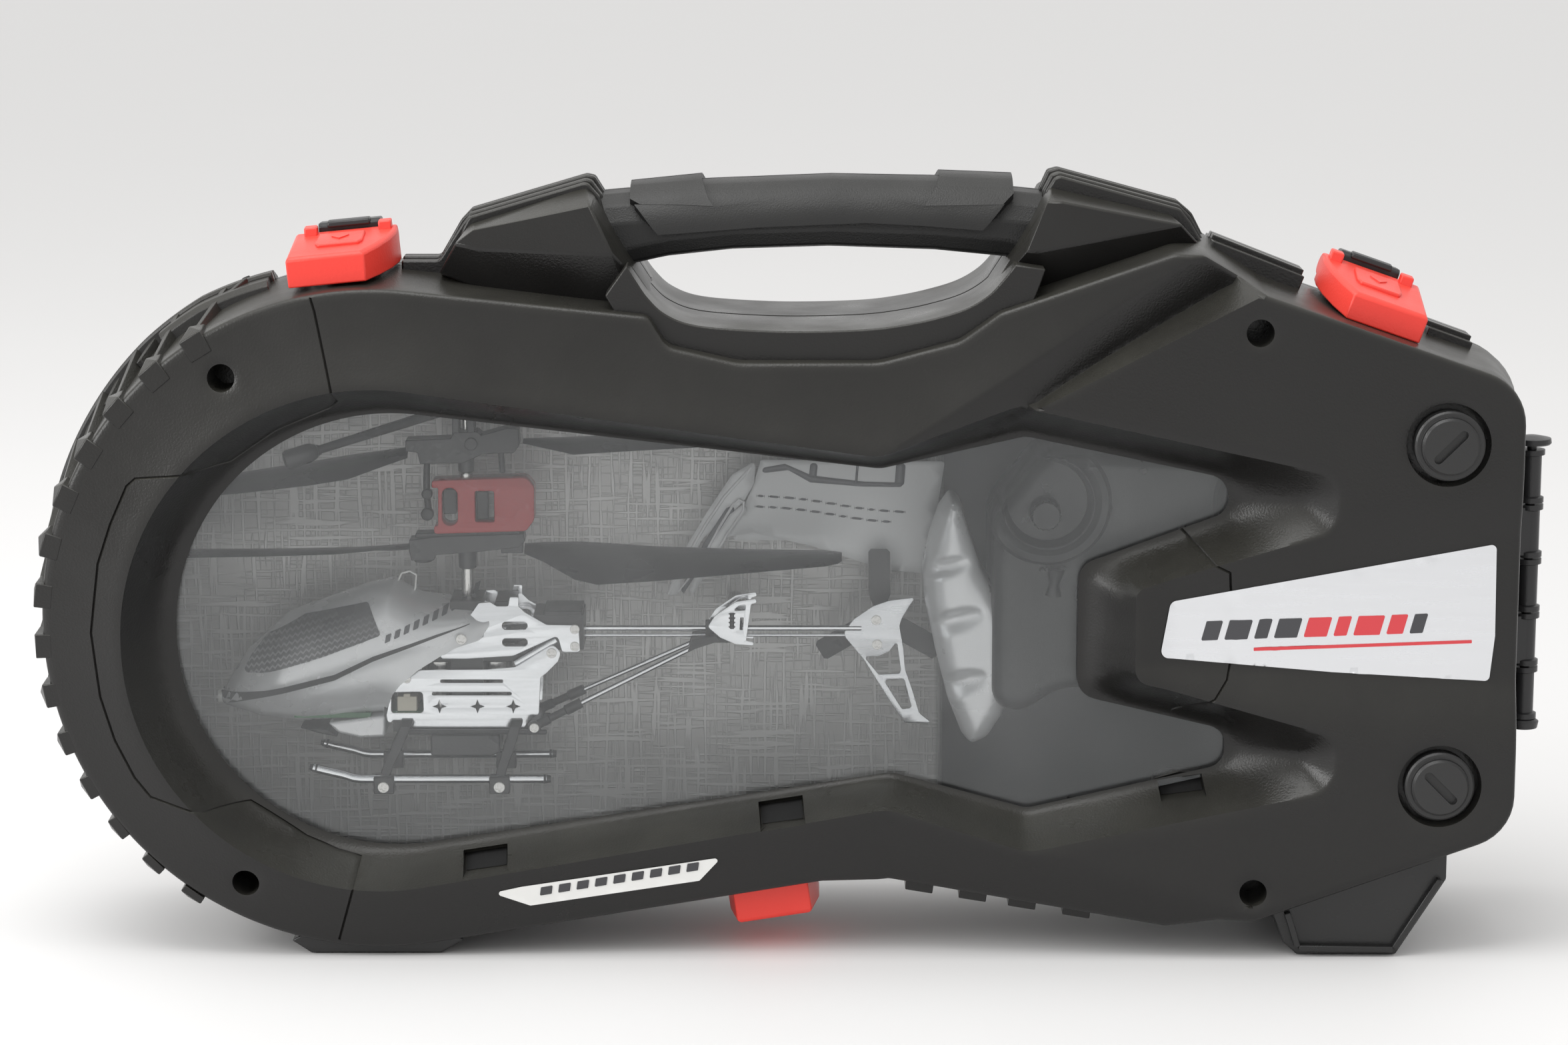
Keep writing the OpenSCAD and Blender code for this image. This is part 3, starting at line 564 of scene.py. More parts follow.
def circle(x, z, r, n=32):
    return np.array([(x + r * math.cos(a), z + r * math.sin(a))
                     for a in np.linspace(0, 2 * math.pi, n, endpoint=False)])


# ---------------------------------------------------------------- lid: sculpted relief
def seen(corners):
    """The face's outer edge stands 7 mm behind the crease, so it is drawn that much lower."""
    return [(x * 1.004 + 0.2, z - 1.2, r) for x, z, r in corners]


OUTER = seen(FACE)
L_OUT = dense(rounded(OUTER), 3.0)
L_BEZ = dense(rounded(BEZEL), 2.6)
L_WIN = dense(rounded(WINDOW), 2.4)
R1 = ((28.2, 158.4), (119.6, 216.2))
R2 = ((70.8, 170.1), (139.4, 205.7))
V3 = ((27, 47.8), (70, 34.2), (138, 12.6))
SCREWS = [(-172.8, 180.0), (-169.0, 24.0), (137.8, 193.8), (139.0, 21.4)]
LOCKS = [(195.0, 160.0), (195.0, 55.0)]
SLOTS = [(-96.0, 29.4), (-5.0, 44.6), (118.0, 50.9)]
SEAMS = [
    [(-146.4, 205.8), (-144.6, 200.0), (-139.5, 176.5), (-138.9, 172.2)],
    [(-138.9, 172.2), (-141.5, 169.5), (-158, 162.5), (-172, 153.0), (-183.9, 151.1)],
    [(-183.9, 151.1), (-199.1, 149.7), (-201.8, 147.3), (-206.9, 135.9), (-211.1, 123.6),
     (-213.8, 102.3), (-211.6, 82.5), (-207.6, 69.0), (-201.9, 57.3), (-197.2, 51.3), (-181.2, 46.0),
     (-168.8, 46.2), (-151.8, 35.1), (-141.9, 30.9), (-134.8, 29.0), (-135.8, 23.3), (-141.5, 3.5)],
    [(113.6, 134.3), (126.2, 122.6), (130.4, 120.6), (131.6, 104), (131.0, 92.4), (130.1, 87.5),
     (126.4, 81.7), (114.6, 75.4)],
]


def face_depth(p):
    """Depth of the front face behind the crease plane, before the bezel and the holes."""
    x, z = p[:, 0], p[:, 1]
    d_b = np.where(inside(p, L_BEZ), 0.0, seg_distance(p, L_BEZ))
    band = 11.5 * (1 - np.exp(-d_b / 33.0))
    s1, s2 = side_of(p, *R1), side_of(p, *R2)
    upper = smin(band + 0.50 * np.maximum(0, s1), 2.4 + 2.4 * np.maximum(0, -s2), 1.2)
    s3 = np.minimum(side_of(p, V3[0], V3[1]), side_of(p, V3[1], V3[2]))
    tilt = 0.30 * s3
    lower = np.where(x < 27, band, smax(tilt, np.full(len(p), 0.3) * np.clip((x - 27) / 40, 0, 1), 1.2))
    t = np.clip((z - 96) / 8.0, 0, 1)
    right = x > 60
    d = np.where(z > 100, upper, lower)
    d = np.where(right, upper * t + lower * (1 - t), d)
    su = -side_of(p, (105, 112), (211, 131))
    sl = side_of(p, (105, 93), (211, 87))
    valley = 5.0 - 0.23 * np.maximum(0, su) - 0.30 * np.maximum(0, sl) - 0.30 * np.maximum(0, 113 - x)
    return smax(d, valley, 2.2)


def relief(p):
    d = face_depth(p)
    ins = inside(p, L_BEZ)
    db = seg_distance(p, L_BEZ)
    dw = seg_distance(p, L_WIN)
    win = inside(p, L_WIN)
    t = np.where(ins, db / np.maximum(1e-6, db + np.where(win, 0, dw)), 0.0)
    deep = 1 - (1 - t) ** 1.7
    d = d * (1 - deep) + (18.0 + 0.6) * deep
    # eased crease
    d += 0.35 * np.exp(-(db / 0.9) ** 2)
    # eased outer edge
    so = seg_distance(p, L_OUT)
    r = 1.5
    s = np.clip(so, 0, r)
    d += r - np.sqrt(np.maximum(0, r * r - (r - s) ** 2))
    for x, z in LOCKS:
        q = np.hypot(p[:, 0] - x, p[:, 1] - z)
        d += 5.2 * np.clip((12.75 - q) / 0.35, 0, 1) + 0.5 * np.exp(-((q - 12.9) / 0.8) ** 2)
    for x, z in SCREWS:
        q = np.hypot(p[:, 0] - x, p[:, 1] - z)
        d += 16.0 * np.clip((4.2 - q) / 0.3, 0, 1) + 0.35 * np.exp(-((q - 4.3) / 0.6) ** 2)
    for x, z in SLOTS:
        a = math.radians(9)
        u = (p[:, 0] - x) * math.cos(a) + (p[:, 1] - z) * math.sin(a)
        v = -(p[:, 0] - x) * math.sin(a) + (p[:, 1] - z) * math.cos(a)
        e = np.maximum(np.abs(u) - 6.9, np.abs(v) - 2.7)
        d += 6.0 * np.clip(-e / 0.3, 0, 1)
    for s in SEAMS:
        q = seg_distance(p, np.array(s, float), closed=False)
        d += 0.55 * np.clip(1 - q / 0.42, 0, 1)
    return d


def slot_loop(x, z, grow):
    a = math.radians(9)
    out = []
    for u, v in ((-1, -1), (1, -1), (1, 1), (-1, 1)):
        u, v = u * (6.9 + grow), v * (2.7 + grow)
        out.append((x + u * math.cos(a) - v * math.sin(a), z + u * math.sin(a) + v * math.cos(a)))
    return np.array(out)


def triangulate(loops, lines, spacing, keep_outer, drop_inner, clear=0.9):
    """Triangles of the area in keep_outer and outside drop_inner, with the given crease lines in it."""
    pts = []
    edges = []
    marks = []
    for loop in loops:
        o = len(pts)
        pts += [tuple(p) for p in loop]
        edges += [(o + i, o + (i + 1) % len(loop)) for i in range(len(loop))]
        marks.append((np.asarray(loop), True))
    for line in lines:
        o = len(pts)
        pts += [tuple(p) for p in line]
        edges += [(o + i, o + i + 1) for i in range(len(line) - 1)]
        marks.append((np.asarray(line), False))
    lo, hi = keep_outer.min(0), keep_outer.max(0)
    xs = np.arange(lo[0], hi[0], spacing)
    zs = np.arange(lo[1], hi[1], spacing * 0.87)
    g = np.array([(x + (spacing / 2 if j % 2 else 0), z) for j, z in enumerate(zs) for x in xs])
    g = g[inside(g, keep_outer)]
    if drop_inner is not None:
        g = g[~inside(g, drop_inner)]
    ok = np.ones(len(g), bool)
    for m, closed in marks:
        lo, hi = m.min(0) - clear, m.max(0) + clear
        near = np.all((g > lo) & (g < hi), axis=1)
        if near.any():
            idx = np.where(near)[0]
            ok[idx[seg_distance(g[idx], m, closed) < clear]] = False
    pts += [tuple(p) for p in g[ok]]
    v, _, f, _, _, _ = delaunay_2d_cdt([Vector(p) for p in pts], edges, [], 0, 1e-5)
    v = np.array([tuple(p) for p in v])
    f = np.array([list(t) for t in f])
    c = v[f].mean(1)
    keep = inside(c, keep_outer)
    if drop_inner is not None:
        keep &= ~inside(c, drop_inner)
    f = f[keep]
    used = np.unique(f)
    new = -np.ones(len(v), int)
    new[used] = np.arange(len(used))
    return v[used], new[f]


def boundary_loops(f):
    """Vertex indices along each edge of a triangulated sheet, in order, longest loop first."""
    count = {}
    for t in f:
        for a, b in ((t[0], t[1]), (t[1], t[2]), (t[2], t[0])):
            count[(a, b)] = count.get((a, b), 0) + 1
    nxt = {a: b for (a, b) in count if (b, a) not in count}
    loops = []
    while nxt:
        a = next(iter(nxt))
        loop = [a]
        b = nxt.pop(a)
        while b != a and b in nxt:
            loop.append(b)
            b = nxt.pop(b)
        loops.append(loop)
    return sorted(loops, key=len, reverse=True)


FLARE = [(0.0, None), (0.5, -30.0), (1.6, -17.0), (2.7, -9.0), (3.4, -4.0), (3.4, -0.45)]


def case_half(name, relief_fn, loops, lines, window, sign):
    """Shell of one half: the face drawn by relief_fn and the flaring skirt around it."""
    rim = [dense(rounded(inset(OUTER, g)), 3.0) for g in (0.25, 0.75, 1.5, 3.0, 5.0)]
    v2, f = triangulate([L_OUT] + rim + loops, lines, 2.3, L_OUT, window)
    d = relief_fn(v2)
    verts = [(p[0], sign * (q - HALF), p[1]) for p, q in zip(v2, d)]
    faces = [list(t) for t in f]
    edge = next(lp for lp in boundary_loops(f) if seg_distance(v2[lp], L_OUT).max() < 0.3)
    base = v2[edge]
    k = len(edge)
    along = [unit(base[(i + 1) % k] - base[i - 1]) for i in range(k)]
    outward = np.array([(-t[1], t[0]) for t in along])
    if inside(base + outward * 0.5, L_OUT).mean() > 0.5:
        outward = -outward
    prev = list(edge)
    y_edge = d[edge] - HALF
    for off, y in FLARE[1:]:
        o = len(verts)
        yy = np.maximum(y, y_edge + (3.0 if y < -20 else 0)) if y < -10 else np.full(k, y)
        ring = base + outward * off
        verts += [(p[0], sign * float(q), p[1]) for p, q in zip(ring, yy)]
        for i in range(k):
            j = (i + 1) % k
            faces.append([prev[i], prev[j], o + j, o + i])
        prev = [o + i for i in range(k)]
    ob = mesh_object(name, verts, faces, M_CASE, smooth=None)
    bm = bmesh.new()
    bm.from_mesh(ob.data)
    bmesh.ops.recalc_face_normals(bm, faces=bm.faces)
    up = sum((fc.normal.y * fc.calc_area() for fc in bm.faces))
    if up * sign > 0:
        bmesh.ops.reverse_faces(bm, faces=bm.faces)
    bm.to_mesh(ob.data)
    bm.free()
    thicken(ob, 2.0, -1.0)
    sharpen(ob.data, 34)
    return ob


bez_lines = [dense(rounded(inset(BEZEL, g)), 2.6) for g in (-0.8, 0.0, 0.8)]
between = []
for t in (0.25, 0.5, 0.75, 0.92):
    between.append(dense(rounded([tuple(np.array(a) + (np.array(b) - np.array(a)) * t)
                                  for a, b in zip(BEZEL, WINDOW)]), 2.6))
hole_loops = []
for x, z in LOCKS:
    hole_loops += [circle(x, z, r, 56) for r in (13.6, 12.75, 12.4)]
for x, z in SCREWS:
    hole_loops += [circle(x, z, r, 28) for r in (4.9, 4.2, 3.9)]
for x, z in SLOTS:
    hole_loops += [slot_loop(x, z, 0.0), slot_loop(x, z, -0.3)]


def line_between(a, b, step=2.4):
    a, b = np.array(a, float), np.array(b, float)
    n = max(1, int(np.linalg.norm(b - a) / step))
    return np.array([a + (b - a) * i / n for i in range(n + 1)])


def shifted(line, d):
    t = np.gradient(line, axis=0)
    t /= np.linalg.norm(t, axis=1)[:, None]
    return line + np.stack([t[:, 1], -t[:, 0]], 1) * d


creases = []
for a, b in ((R1[0], (117.0, 214.0)), ((73.0, 171.4), (137.0, 204.4)), ((71.5, 33.2), (136.0, 13.9))):
    base_line = line_between(a, b)
    creases += [shifted(base_line, s) for s in (-1.0, 0.0, 1.0)]
valley = []
e2 = unit(np.array(R2[1]) - np.array(R2[0]))
n2 = np.array([-e2[1], e2[0]])
for t in np.linspace(-14, 74, 45):
    row = np.array(R2[0]) + e2 * t + n2 * np.linspace(-2, 30, 129)[:, None]
    db = np.where(inside(row, L_BEZ), 0.0, seg_distance(row, L_BEZ))
    gap = 11.5 * (1 - np.exp(-db / 33.0)) + 0.50 * np.maximum(0, side_of(row, *R1)) \
        - 2.4 - 2.4 * np.maximum(0, -side_of(row, *R2))
    hit = np.where(gap < 0)[0]
    if len(hit) and 0 < hit[0] < 128:
        valley.append(row[hit[0]])
valley = np.array(valley)
keep = inside(valley, dense(rounded(inset(OUTER, 6.0)), 3.0)) & ~inside(valley,
    dense(rounded(inset(BEZEL, -2.0)), 3.0))
valley = valley[keep]
if len(valley) > 4:
    creases += [shifted(valley, q) for q in (-1.6, -0.8, 0.0, 0.8, 1.6)]
seam_lines = []
for s in SEAMS:
    s = [np.array(q, float) for q in s]
    pts = [s[0]]
    for a, b in zip(s[:-1], s[1:]):
        n = max(1, int(np.linalg.norm(b - a) / 2.0))
        pts += [a + (b - a) * (i + 1) / n for i in range(n)]
    pts = np.array(pts)
    keep = inside(pts, dense(rounded(inset(OUTER, 0.6)), 3.0))
    pts = pts[keep]
    seam_lines += [shifted(pts, 0.42), pts, shifted(pts, -0.42)]

lid = case_half("lid_shell", relief, bez_lines + between + hole_loops + [L_WIN], creases + seam_lines,
                L_WIN, 1)


# ---------------------------------------------------------------- back of the case
def back_relief(p):
    so = seg_distance(p, L_OUT)
    d = 3.4 * np.clip(1 - so / 12.0, 0, 1) ** 2
    r = 3.0
    s = np.clip(so, 0, r)
    d += r - np.sqrt(np.maximum(0, r * r - (r - s) ** 2))
    ins = inside(p, L_BEZ)
    db = seg_distance(p, L_BEZ)
    d += np.where(ins, 1.6 * np.clip(db / 2.0, 0, 1), 0)
    d += 0.3 * np.exp(-(db / 1.0) ** 2)
    for x in (-150.0, 150.0):
        e = np.maximum(np.abs(p[:, 0] - x) - 22, np.abs(p[:, 1] - 106) - 9)
        d = np.where(e < 0, np.minimum(d, 1.2 - 3.6 * np.clip(-e / 1.6, 0, 1)), d)
    return d


pads = []
for x in (-150.0, 150.0):
    for g in (0.0, 1.6):
        pads.append(np.array([(x - 22 + g, 97 + g), (x + 22 - g, 97 + g), (x + 22 - g, 115 - g),
                              (x - 22 + g, 115 - g)]))
rear = case_half("rear_case_shell", back_relief, bez_lines[:1] + bez_lines[2:] + pads, [], None, -1)


# ---------------------------------------------------------------- tread, rails and hinge knuckles
ARC = np.array([-127.0, 101.2])


def rail_radius(deg):
    return float(np.interp(deg, [-66, -30, 0, 28, 49, 60, 73],
                           [103.9, 105.2, 107.0, 110.4, 112.8, 113.2, 111.4]))


def lug_radius(deg):
    return float(np.interp(deg, [-62, -30, 0, 30, 60], [103.6, 104.8, 106.6, 107.6, 108.4]))


def tread(sign):
    k = Kit()

    def at(deg, radius, y):
        a = math.radians(deg)
        return (ARC[0] - radius * math.cos(a), sign * y, ARC[1] + radius * math.sin(a))

    # rail on the parting line, with a thick end beside the left latch
    rings = []
    for a in np.arange(-66.0, 73.1, 1.5):
        r = rail_radius(a)
        rings.append([at(a, 101.5, -0.45), at(a, r, -0.45), at(a, r, -2.8), at(a, r - 0.9, -3.4),
                      at(a, 101.5, -4.4)])
    k.loft(rings)
    rings = []
    for a in np.arange(52.0, 72.4, 1.5):
        r = rail_radius(a)
        rings.append([at(a, 101.0, -0.4), at(a, r - 1.0, -0.4), at(a, r - 1.4, -10.0),
                      at(a, r - 3.0, -12.4), at(a, 101.0, -13.5)])
    k.loft(rings)
    # pyramid lugs at the face edge, and slanting ribs from them up to the rail
    for i in range(-7, 7):
        a = 6.6 + 8.7 * i
        w = 2.05
        r = lug_radius(a)
        y0, y1 = -38.5, -26.0
        base = [at(a - w, 99.5, y0), at(a + w, 99.5, y0), at(a + w, 100.5, y1), at(a - w, 100.5, y1)]
        low = [at(a - w, r - 1.9, y0 + 0.8), at(a + w, r - 1.9, y0 + 0.8), at(a + w, r - 1.5, y1),
               at(a - w, r - 1.5, y1)]
        k.hull(base + low + [at(a + 0.3, r + 0.4, -31.5)])
        rib = []
        for b, y, rr in ((a + 0.6, -27.0, r - 1.2), (a + 5.2, -3.0, rail_radius(a + 5.2) - 0.3)):
            rib += [at(b - 1.0, 99.5, y), at(b + 1.0, 99.5, y), at(b - 0.55, rr, y), at(b + 0.55, rr, y)]
        k.hull(rib)
        rib = []
        for b, y, rr in ((a + 5.2, -10.0, rail_radius(a) - 2.6), (a + 8.8, -3.0, rail_radius(a) - 0.6)):
            rib += [at(b - 0.8, 99.5, y), at(b + 0.8, 99.5, y), at(b - 0.5, rr, y), at(b + 0.5, rr, y)]
        k.hull(rib)
    # rails along the right shoulder, either side of the right latch
    for (x0, z0), (x1, z1) in (((126, 217.0), (154, 206.0)), ((192.5, 190.5), (206, 185.6))):
        d = unit(np.array([x1 - x0, z1 - z0]))
        n = np.array([-d[1], d[0]])
        for off, yy in ((0.9, -11.0), (2.3, -5.5)):
            pts = []
            for q in ((x0, z0), (x1, z1)):
                q = np.array(q) - n * 6
                for h in (0.0, 6 + off):
                    r = q + n * h
                    pts += [(r[0], sign * yy, r[1]), (r[0], sign * -0.5, r[1])]
            k.hull(pts)
    for off, yy in ((2.6, -11.0), (4.0, -5.5)):
        cx, cz, rr = 199.5, 162.5, 17.2
        rings = []
        for a in np.linspace(8, 70, 12):
            c, s = math.cos(math.radians(a)), math.sin(math.radians(a))
            rings.append([(cx + r * c, sign * y, cz + r * s) for r, y in
                          ((rr - 2, -0.5), (rr + 1.2 + off, -0.5), (rr + 1.2 + off, yy), (rr - 2, yy))])
        k.loft(rings)
    # small lugs under the lower edge
    for px in (-33.0, 38.0, 54.5, 69.7, 86.5):
        z = 20.0 if px < 0 else 22.6 - (px - 29) * 0.165
        s = 0.165 if px < 0 else -0.165
        pts = []
        for x in (px - 4.2, px + 4.2):
            for y in (-33, -20):
                zz = z + s * (x - px)
                pts += [(x, sign * y, zz + 4), (x - 0.8, sign * y, zz - 2.2)]
        k.hull(pts)
    return k.object("tread_%s" % ("lid" if sign > 0 else "rear"), M_CASE, 25)


done(bevel(tread(1), 0.3), "lid")
done(bevel(tread(-1), 0.3), "case_rear")


def knuckles(name, first, sign):
    k = Kit()
    for i in range(first, 5, 2):
        z0 = 66.3 + i * 17.2
        z1 = z0 + 16.6
        prof = [(0, 2.0), (0.01, 4.1), (1.6, 4.1), (2.0, 3.15), (z1 - z0 - 2.0, 3.15), (z1 - z0 - 1.6, 4.1),
                (z1 - z0 - 0.01, 4.1), (z1 - z0, 2.0)]
        k.lathe((227.5, 0, z0), (0, 0, 1), prof, 28)
        k.hull([(x, sign * y, z) for x, y in ((217.5, -0.6), (217.5, -5.0), (227.5, -0.6), (227.5, -3.1))
                for z in (z0 + 0.8, z1 - 0.8)])
    return k.object(name, M_BLACK, 35)


done(knuckles("lid_knuckles", 1, 1), "lid")
done(knuckles("rear_knuckles", 0, -1), "case_rear")
k = Kit()
k.lathe((227.5, 0, 62.6), (0, 0, 1), [(0, 1.5), (0.6, 4.6), (2.6, 5.0), (3.4, 4.0), (3.5, 1.5),
                                      (90.6, 1.5), (90.7, 5.6), (91.2, 6.0), (92.6, 5.8), (93.4, 2.0)], 36)
done(k.object("hinge_pin_capped", M_BLACK), "case_rear", "hinge_pin")


# ---------------------------------------------------------------- handle
def lerp_table(x, table):
    xs, ys = zip(*table)
    return float(np.interp(x, xs, ys))


def curve(points, n=6):
    """Smooth open curve through the given points."""
    p = [np.array(q, float) for q in points]
    p = [2 * p[0] - p[1]] + p + [2 * p[-1] - p[-2]]
    out = []
    for i in range(1, len(p) - 2):
        for t in np.linspace(0, 1, n, endpoint=False):
            out.append(0.5 * (2 * p[i] + (p[i + 1] - p[i - 1]) * t + (2 * p[i - 1] - 5 * p[i] + 4 * p[i + 1] - p[i + 2]) * t * t
                              + (3 * p[i] - 3 * p[i + 1] + p[i + 2] - p[i - 1]) * t ** 3))
    return out + [p[-2]]


BAR_BOT = [(-60, 206.5), (-51.6, 210.6), (-40.3, 213.2), (-19.9, 215.4), (9.8, 216.3), (41.5, 215.2),
           (64.1, 213.0), (74, 208.5)]
BAR_TOP = [(-62, 232.5), (-52.3, 233.4), (-30, 234.4), (10, 235.4), (45, 234.6), (65, 233.9), (78, 232.6)]
OPENING = curve([(-51.5, 213.0), (-48.6, 208.4), (-45.0, 203.2), (-39.6, 198.3), (-30.3, 195.0),
                 (-11.7, 193.5), (5, 193.3),
                 (21, 193.9), (31.4, 195.2), (40.6, 197.1), (50, 200.0), (56.8, 204.0), (61.2, 208.6),
                 (65.0, 213.4)])


def handle(sign):
    tag = "lid" if sign > 0 else "rear"
    k = Kit()
    # shoulders: a textured facet, a slanting top band and a plain wall below
    k.hull([(x, sign * y, z) for x, z, y in (
        (-103.6, 218.3, -23.0), (-98.0, 222.6, -23.6), (-75.2, 227.0, -25.4), (-62.4, 230.2, -26.6),
        (-55.6, 215.5, -27.4),
        (-96.3, 216.8, -24.2), (-99.4, 223.4, -12), (-64.4, 234.6, -12), (-61.8, 232.4, -13),
        (-52.4, 211.0, -13),
        (-108.7, 209.0, -18), (-94.1, 203.0, -19), (-68.5, 198.0, -20), (-48.6, 196.2, -20),
        (-44.4, 202.0, -18),
        (-108.7, 204.0, -0.5), (-50, 198, -0.5), (-45.0, 204.6, -0.5), (-64.4, 234.0, -0.5),
        (-99.4, 223.0, -0.5))])
    k.hull([(x, sign * y, z) for x, z, y in (
        (74.9, 231.6, -26.2), (79.5, 231.4, -25.8), (115.7, 224.0, -21.6), (71.6, 216.4, -27.4),
        (68.9, 216.8, -27.4),
        (74.6, 231.8, -12), (76.4, 234.6, -12), (112.4, 226.4, -12), (56.4, 200.4, -18),
        (71.2, 203.6, -20), (110.8, 213.6, -18),
        (124.2, 214.6, -14), (56.8, 203.0, -0.5), (124.2, 212.0, -0.5), (75.0, 231.0, -0.5),
        (112.4, 226.0, -0.5))])
    for lo, hi, g in ((-13.4, -8.6, 1.4), (-9.0, -3.3, 0.7), (-3.5, -0.45, 0.0)):
        left = [(-121, 203, 1), (-121, 212.2 - g, 0.6), (-109.6, 212.2 - g, 2), (-103.2 + g, 223.2 - g, 2),
                (-99.8, 226.8 - g, 2),
                (-64.6, 237.2 - g, 2.4), (-62.0 - g, 236.6 - g, 1.6), (-58.9 - g, 231.6, 2),
                (-51.4 - g, 209.8, 1), (-56, 203, 1)]
        right = [(61, 203, 1), (70, 212, 2), (73.8 + g, 233.0, 2), (76.2 + g, 238.4 - g, 1.6),
                 (79.2, 239.2 - g, 2),
                 (115.9, 229.2 - g, 3), (120.4 - g, 225.4 - g, 3), (126.4 - g, 213.8, 2), (128, 208, 1),
                 (112, 206, 1)]
        if g > 1:
            left = left[3:-1] + [(-60, 205, 1), (-104, 214, 1)]
            right = right[:-1]
        for lp in (left, right):
            k.prism(rounded(lp, 1.4), sign * lo, sign * hi)
    ob1 = bake(bevel(k.object("shoulders", M_CASE, 20), 0.6, 2, 20))
    # bar, lofted along X
    k = Kit()
    rings = []
    for x in np.linspace(-62, 77, 44):
        zt, zb = lerp_table(x, BAR_TOP), lerp_table(x, BAR_BOT)
        sec = [(-0.45, zt - 0.6), (-7.5, zt - 1.2), (-12.5, zt - 4.4), (-15.4, zt - 9.6), (-15.8, zb + 5.5),
               (-13.4, zb + 0.9), (-10.5, zb), (-0.45, zb)]
        rings.append([(x, sign * y, z) for y, z in sec])
    k.loft(rings)
    ob2 = bake(bevel(k.object("bar", M_GRIP, 20), 0.6, 2, 20))
    # lip below the opening, flush with the level top of the flange
    k = Kit()
    k.prism([tuple(q) for q in OPENING] + [(74, 212), (70, 200), (52, 186), (30, 178), (-30, 178),
                                           (-50, 190), (-58, 204)],
            sign * -33.5, sign * -0.45)
    ob3 = bake(bevel(k.object("lip", M_CASE, 20), 0.5, 2, 40))
    return join("handle_" + tag, [ob1, ob2, ob3])


COVER_LINE = [(-51.0, 232.6), (-28, 234.9), (10, 236.4), (42, 235.8), (67.4, 234.8)]
SEAM_LOW = [(-51.6, 229.7), (-42.4, 220.4), (-11.6, 222.8), (20.8, 224.1), (38, 223.2), (55.7, 221.8),
            (65.2, 230.9)]
STEP = [(-51, 227.8), (-24.4, 227.8), (-2.4, 230.1), (20.7, 230.8), (37.9, 228.1), (65.2, 228.1)]
SECTION = np.array([(-0.5, 0.0), (-6.5, 0.5), (-11.8, 3.2), (-15.4, 7.4), (-16.6, 10.5), (-17.0, 18.0)])
ARC_LEN = np.concatenate([[0], np.cumsum(np.hypot(*np.diff(SECTION, axis=0).T))])


def cover_point(x, depth, lift, sign):
    """Point of the grip cover at a depth below its top line, moved outwards by lift."""
    zt = lerp_table(x, COVER_LINE)
    s = float(np.interp(depth, SECTION[:, 1], ARC_LEN))
    y = float(np.interp(s, ARC_LEN, SECTION[:, 0]))
    d = float(np.interp(s, ARC_LEN, SECTION[:, 1]))
    a, b = (float(np.interp(s + q, ARC_LEN, SECTION[:, 0])) for q in (-1.5, 1.5))
    c, e = (float(np.interp(s + q, ARC_LEN, SECTION[:, 1])) for q in (-1.5, 1.5))
    n = unit(np.array([-(e - c), -(b - a)]) if e - c > 1e-6 else np.array([0.0, 1.0]))
    if s < 2:
        n = np.array([0.0, 1.0])
    return (x, sign * (y + n[0] * lift), zt - d + n[1] * lift)


def grid_solid(k, rows_hi, rows_lo):
    n, m = len(rows_hi), len(rows_hi[0])
    v = [p for r in rows_hi for p in r] + [p for r in rows_lo for p in r]
    o = n * m
    f = []
    for i in range(n - 1):
        for j in range(m - 1):
            a, b, c, d = i * m + j, i * m + j + 1, (i + 1) * m + j + 1, (i + 1) * m + j
            f += [[a, b, c, d], [o + d, o + c, o + b, o + a]]
    for i in range(n - 1):
        for j in (0, m - 1):
            a, b = i * m + j, (i + 1) * m + j
            f.append([a, b, o + b, o + a] if j == 0 else [b, a, o + a, o + b])
    for j in range(m - 1):
        for i in (0, n - 1):
            a, b = i * m + j, i * m + j + 1
            f.append([b, a, o + a, o + b] if i == 0 else [a, b, o + b, o + a])
    k.add(v, f)


def cover(sign):
    """Grip cover: a thin pad with thicker ends and lower strip, and slanting lower corners."""
    def top_z(x):
        return lerp_table(x, COVER_LINE)

    k = Kit()
    depths = np.array([0.0, 0.05, 0.3, 0.9, 2.0, 3.2, 5.0, 7.4, 9.0, 10.5])
    hi, lo = [], []
    for x in np.linspace(-46, 60, 50):
        lim = top_z(x) - lerp_table(x, SEAM_LOW) - 1.0
        row = [float(min(q, lim)) for q in depths] + [lim]
        hi.append([cover_point(x, q, 0.9, sign) for q in row])
        lo.append([cover_point(x, q, -0.4, sign) for q in row])
    grid_solid(k, hi, lo)
    # lower strip
    hi, lo = [], []
    for x in list(np.linspace(-49.6, -42.4, 5)) + list(np.linspace(-40, 55.7, 44)) + list(np.linspace(57.5,
        62.4, 4)):
        a, b = top_z(x) - lerp_table(x, STEP), top_z(x) - lerp_table(x, SEAM_LOW)
        a = min(a, b - 0.05)
        row = np.linspace(a, b, 5)
        hi.append([cover_point(x, q, 2.5, sign) for q in row])
        lo.append([cover_point(x, q, -0.4, sign) for q in row])
    grid_solid(k, hi, lo)
    # thick ends
    for x0, edge in ((-51.0, [(0.0, -29.6), (3.0, -28.4), (7.2, -26.6), (8.6, -24.4)]),
                     (65.2, [(0.0, 43.2), (3.0, 42.0), (7.4, 38.6), (8.6, 37.6)])):
        hi, lo = [], []
        for u in np.linspace(0, 1, 9):
            a_row, b_row = [], []
            for q in (0.0, 0.05, 0.4, 1.0, 2.0, 3.2, 5.0, 6.4, 7.8):
                xe = float(np.interp(q, [e[0] for e in edge], [e[1] for e in edge]))
                x = x0 + (xe - x0) * u
                q2 = min(q * (top_z(x) - lerp_table(x, STEP)) / 7.8, top_z(x) - lerp_table(x, SEAM_LOW))
                a_row.append(cover_point(x, q2, 2.6, sign))
                b_row.append(cover_point(x, q2, -0.4, sign))
            hi.append(a_row)
            lo.append(b_row)
        grid_solid(k, hi, lo)
    ob = k.object("grip_cover_%s" % ("front" if sign > 0 else "rear"), M_GRIP, 26)
    return bevel(ob, 0.35, 2, 34)


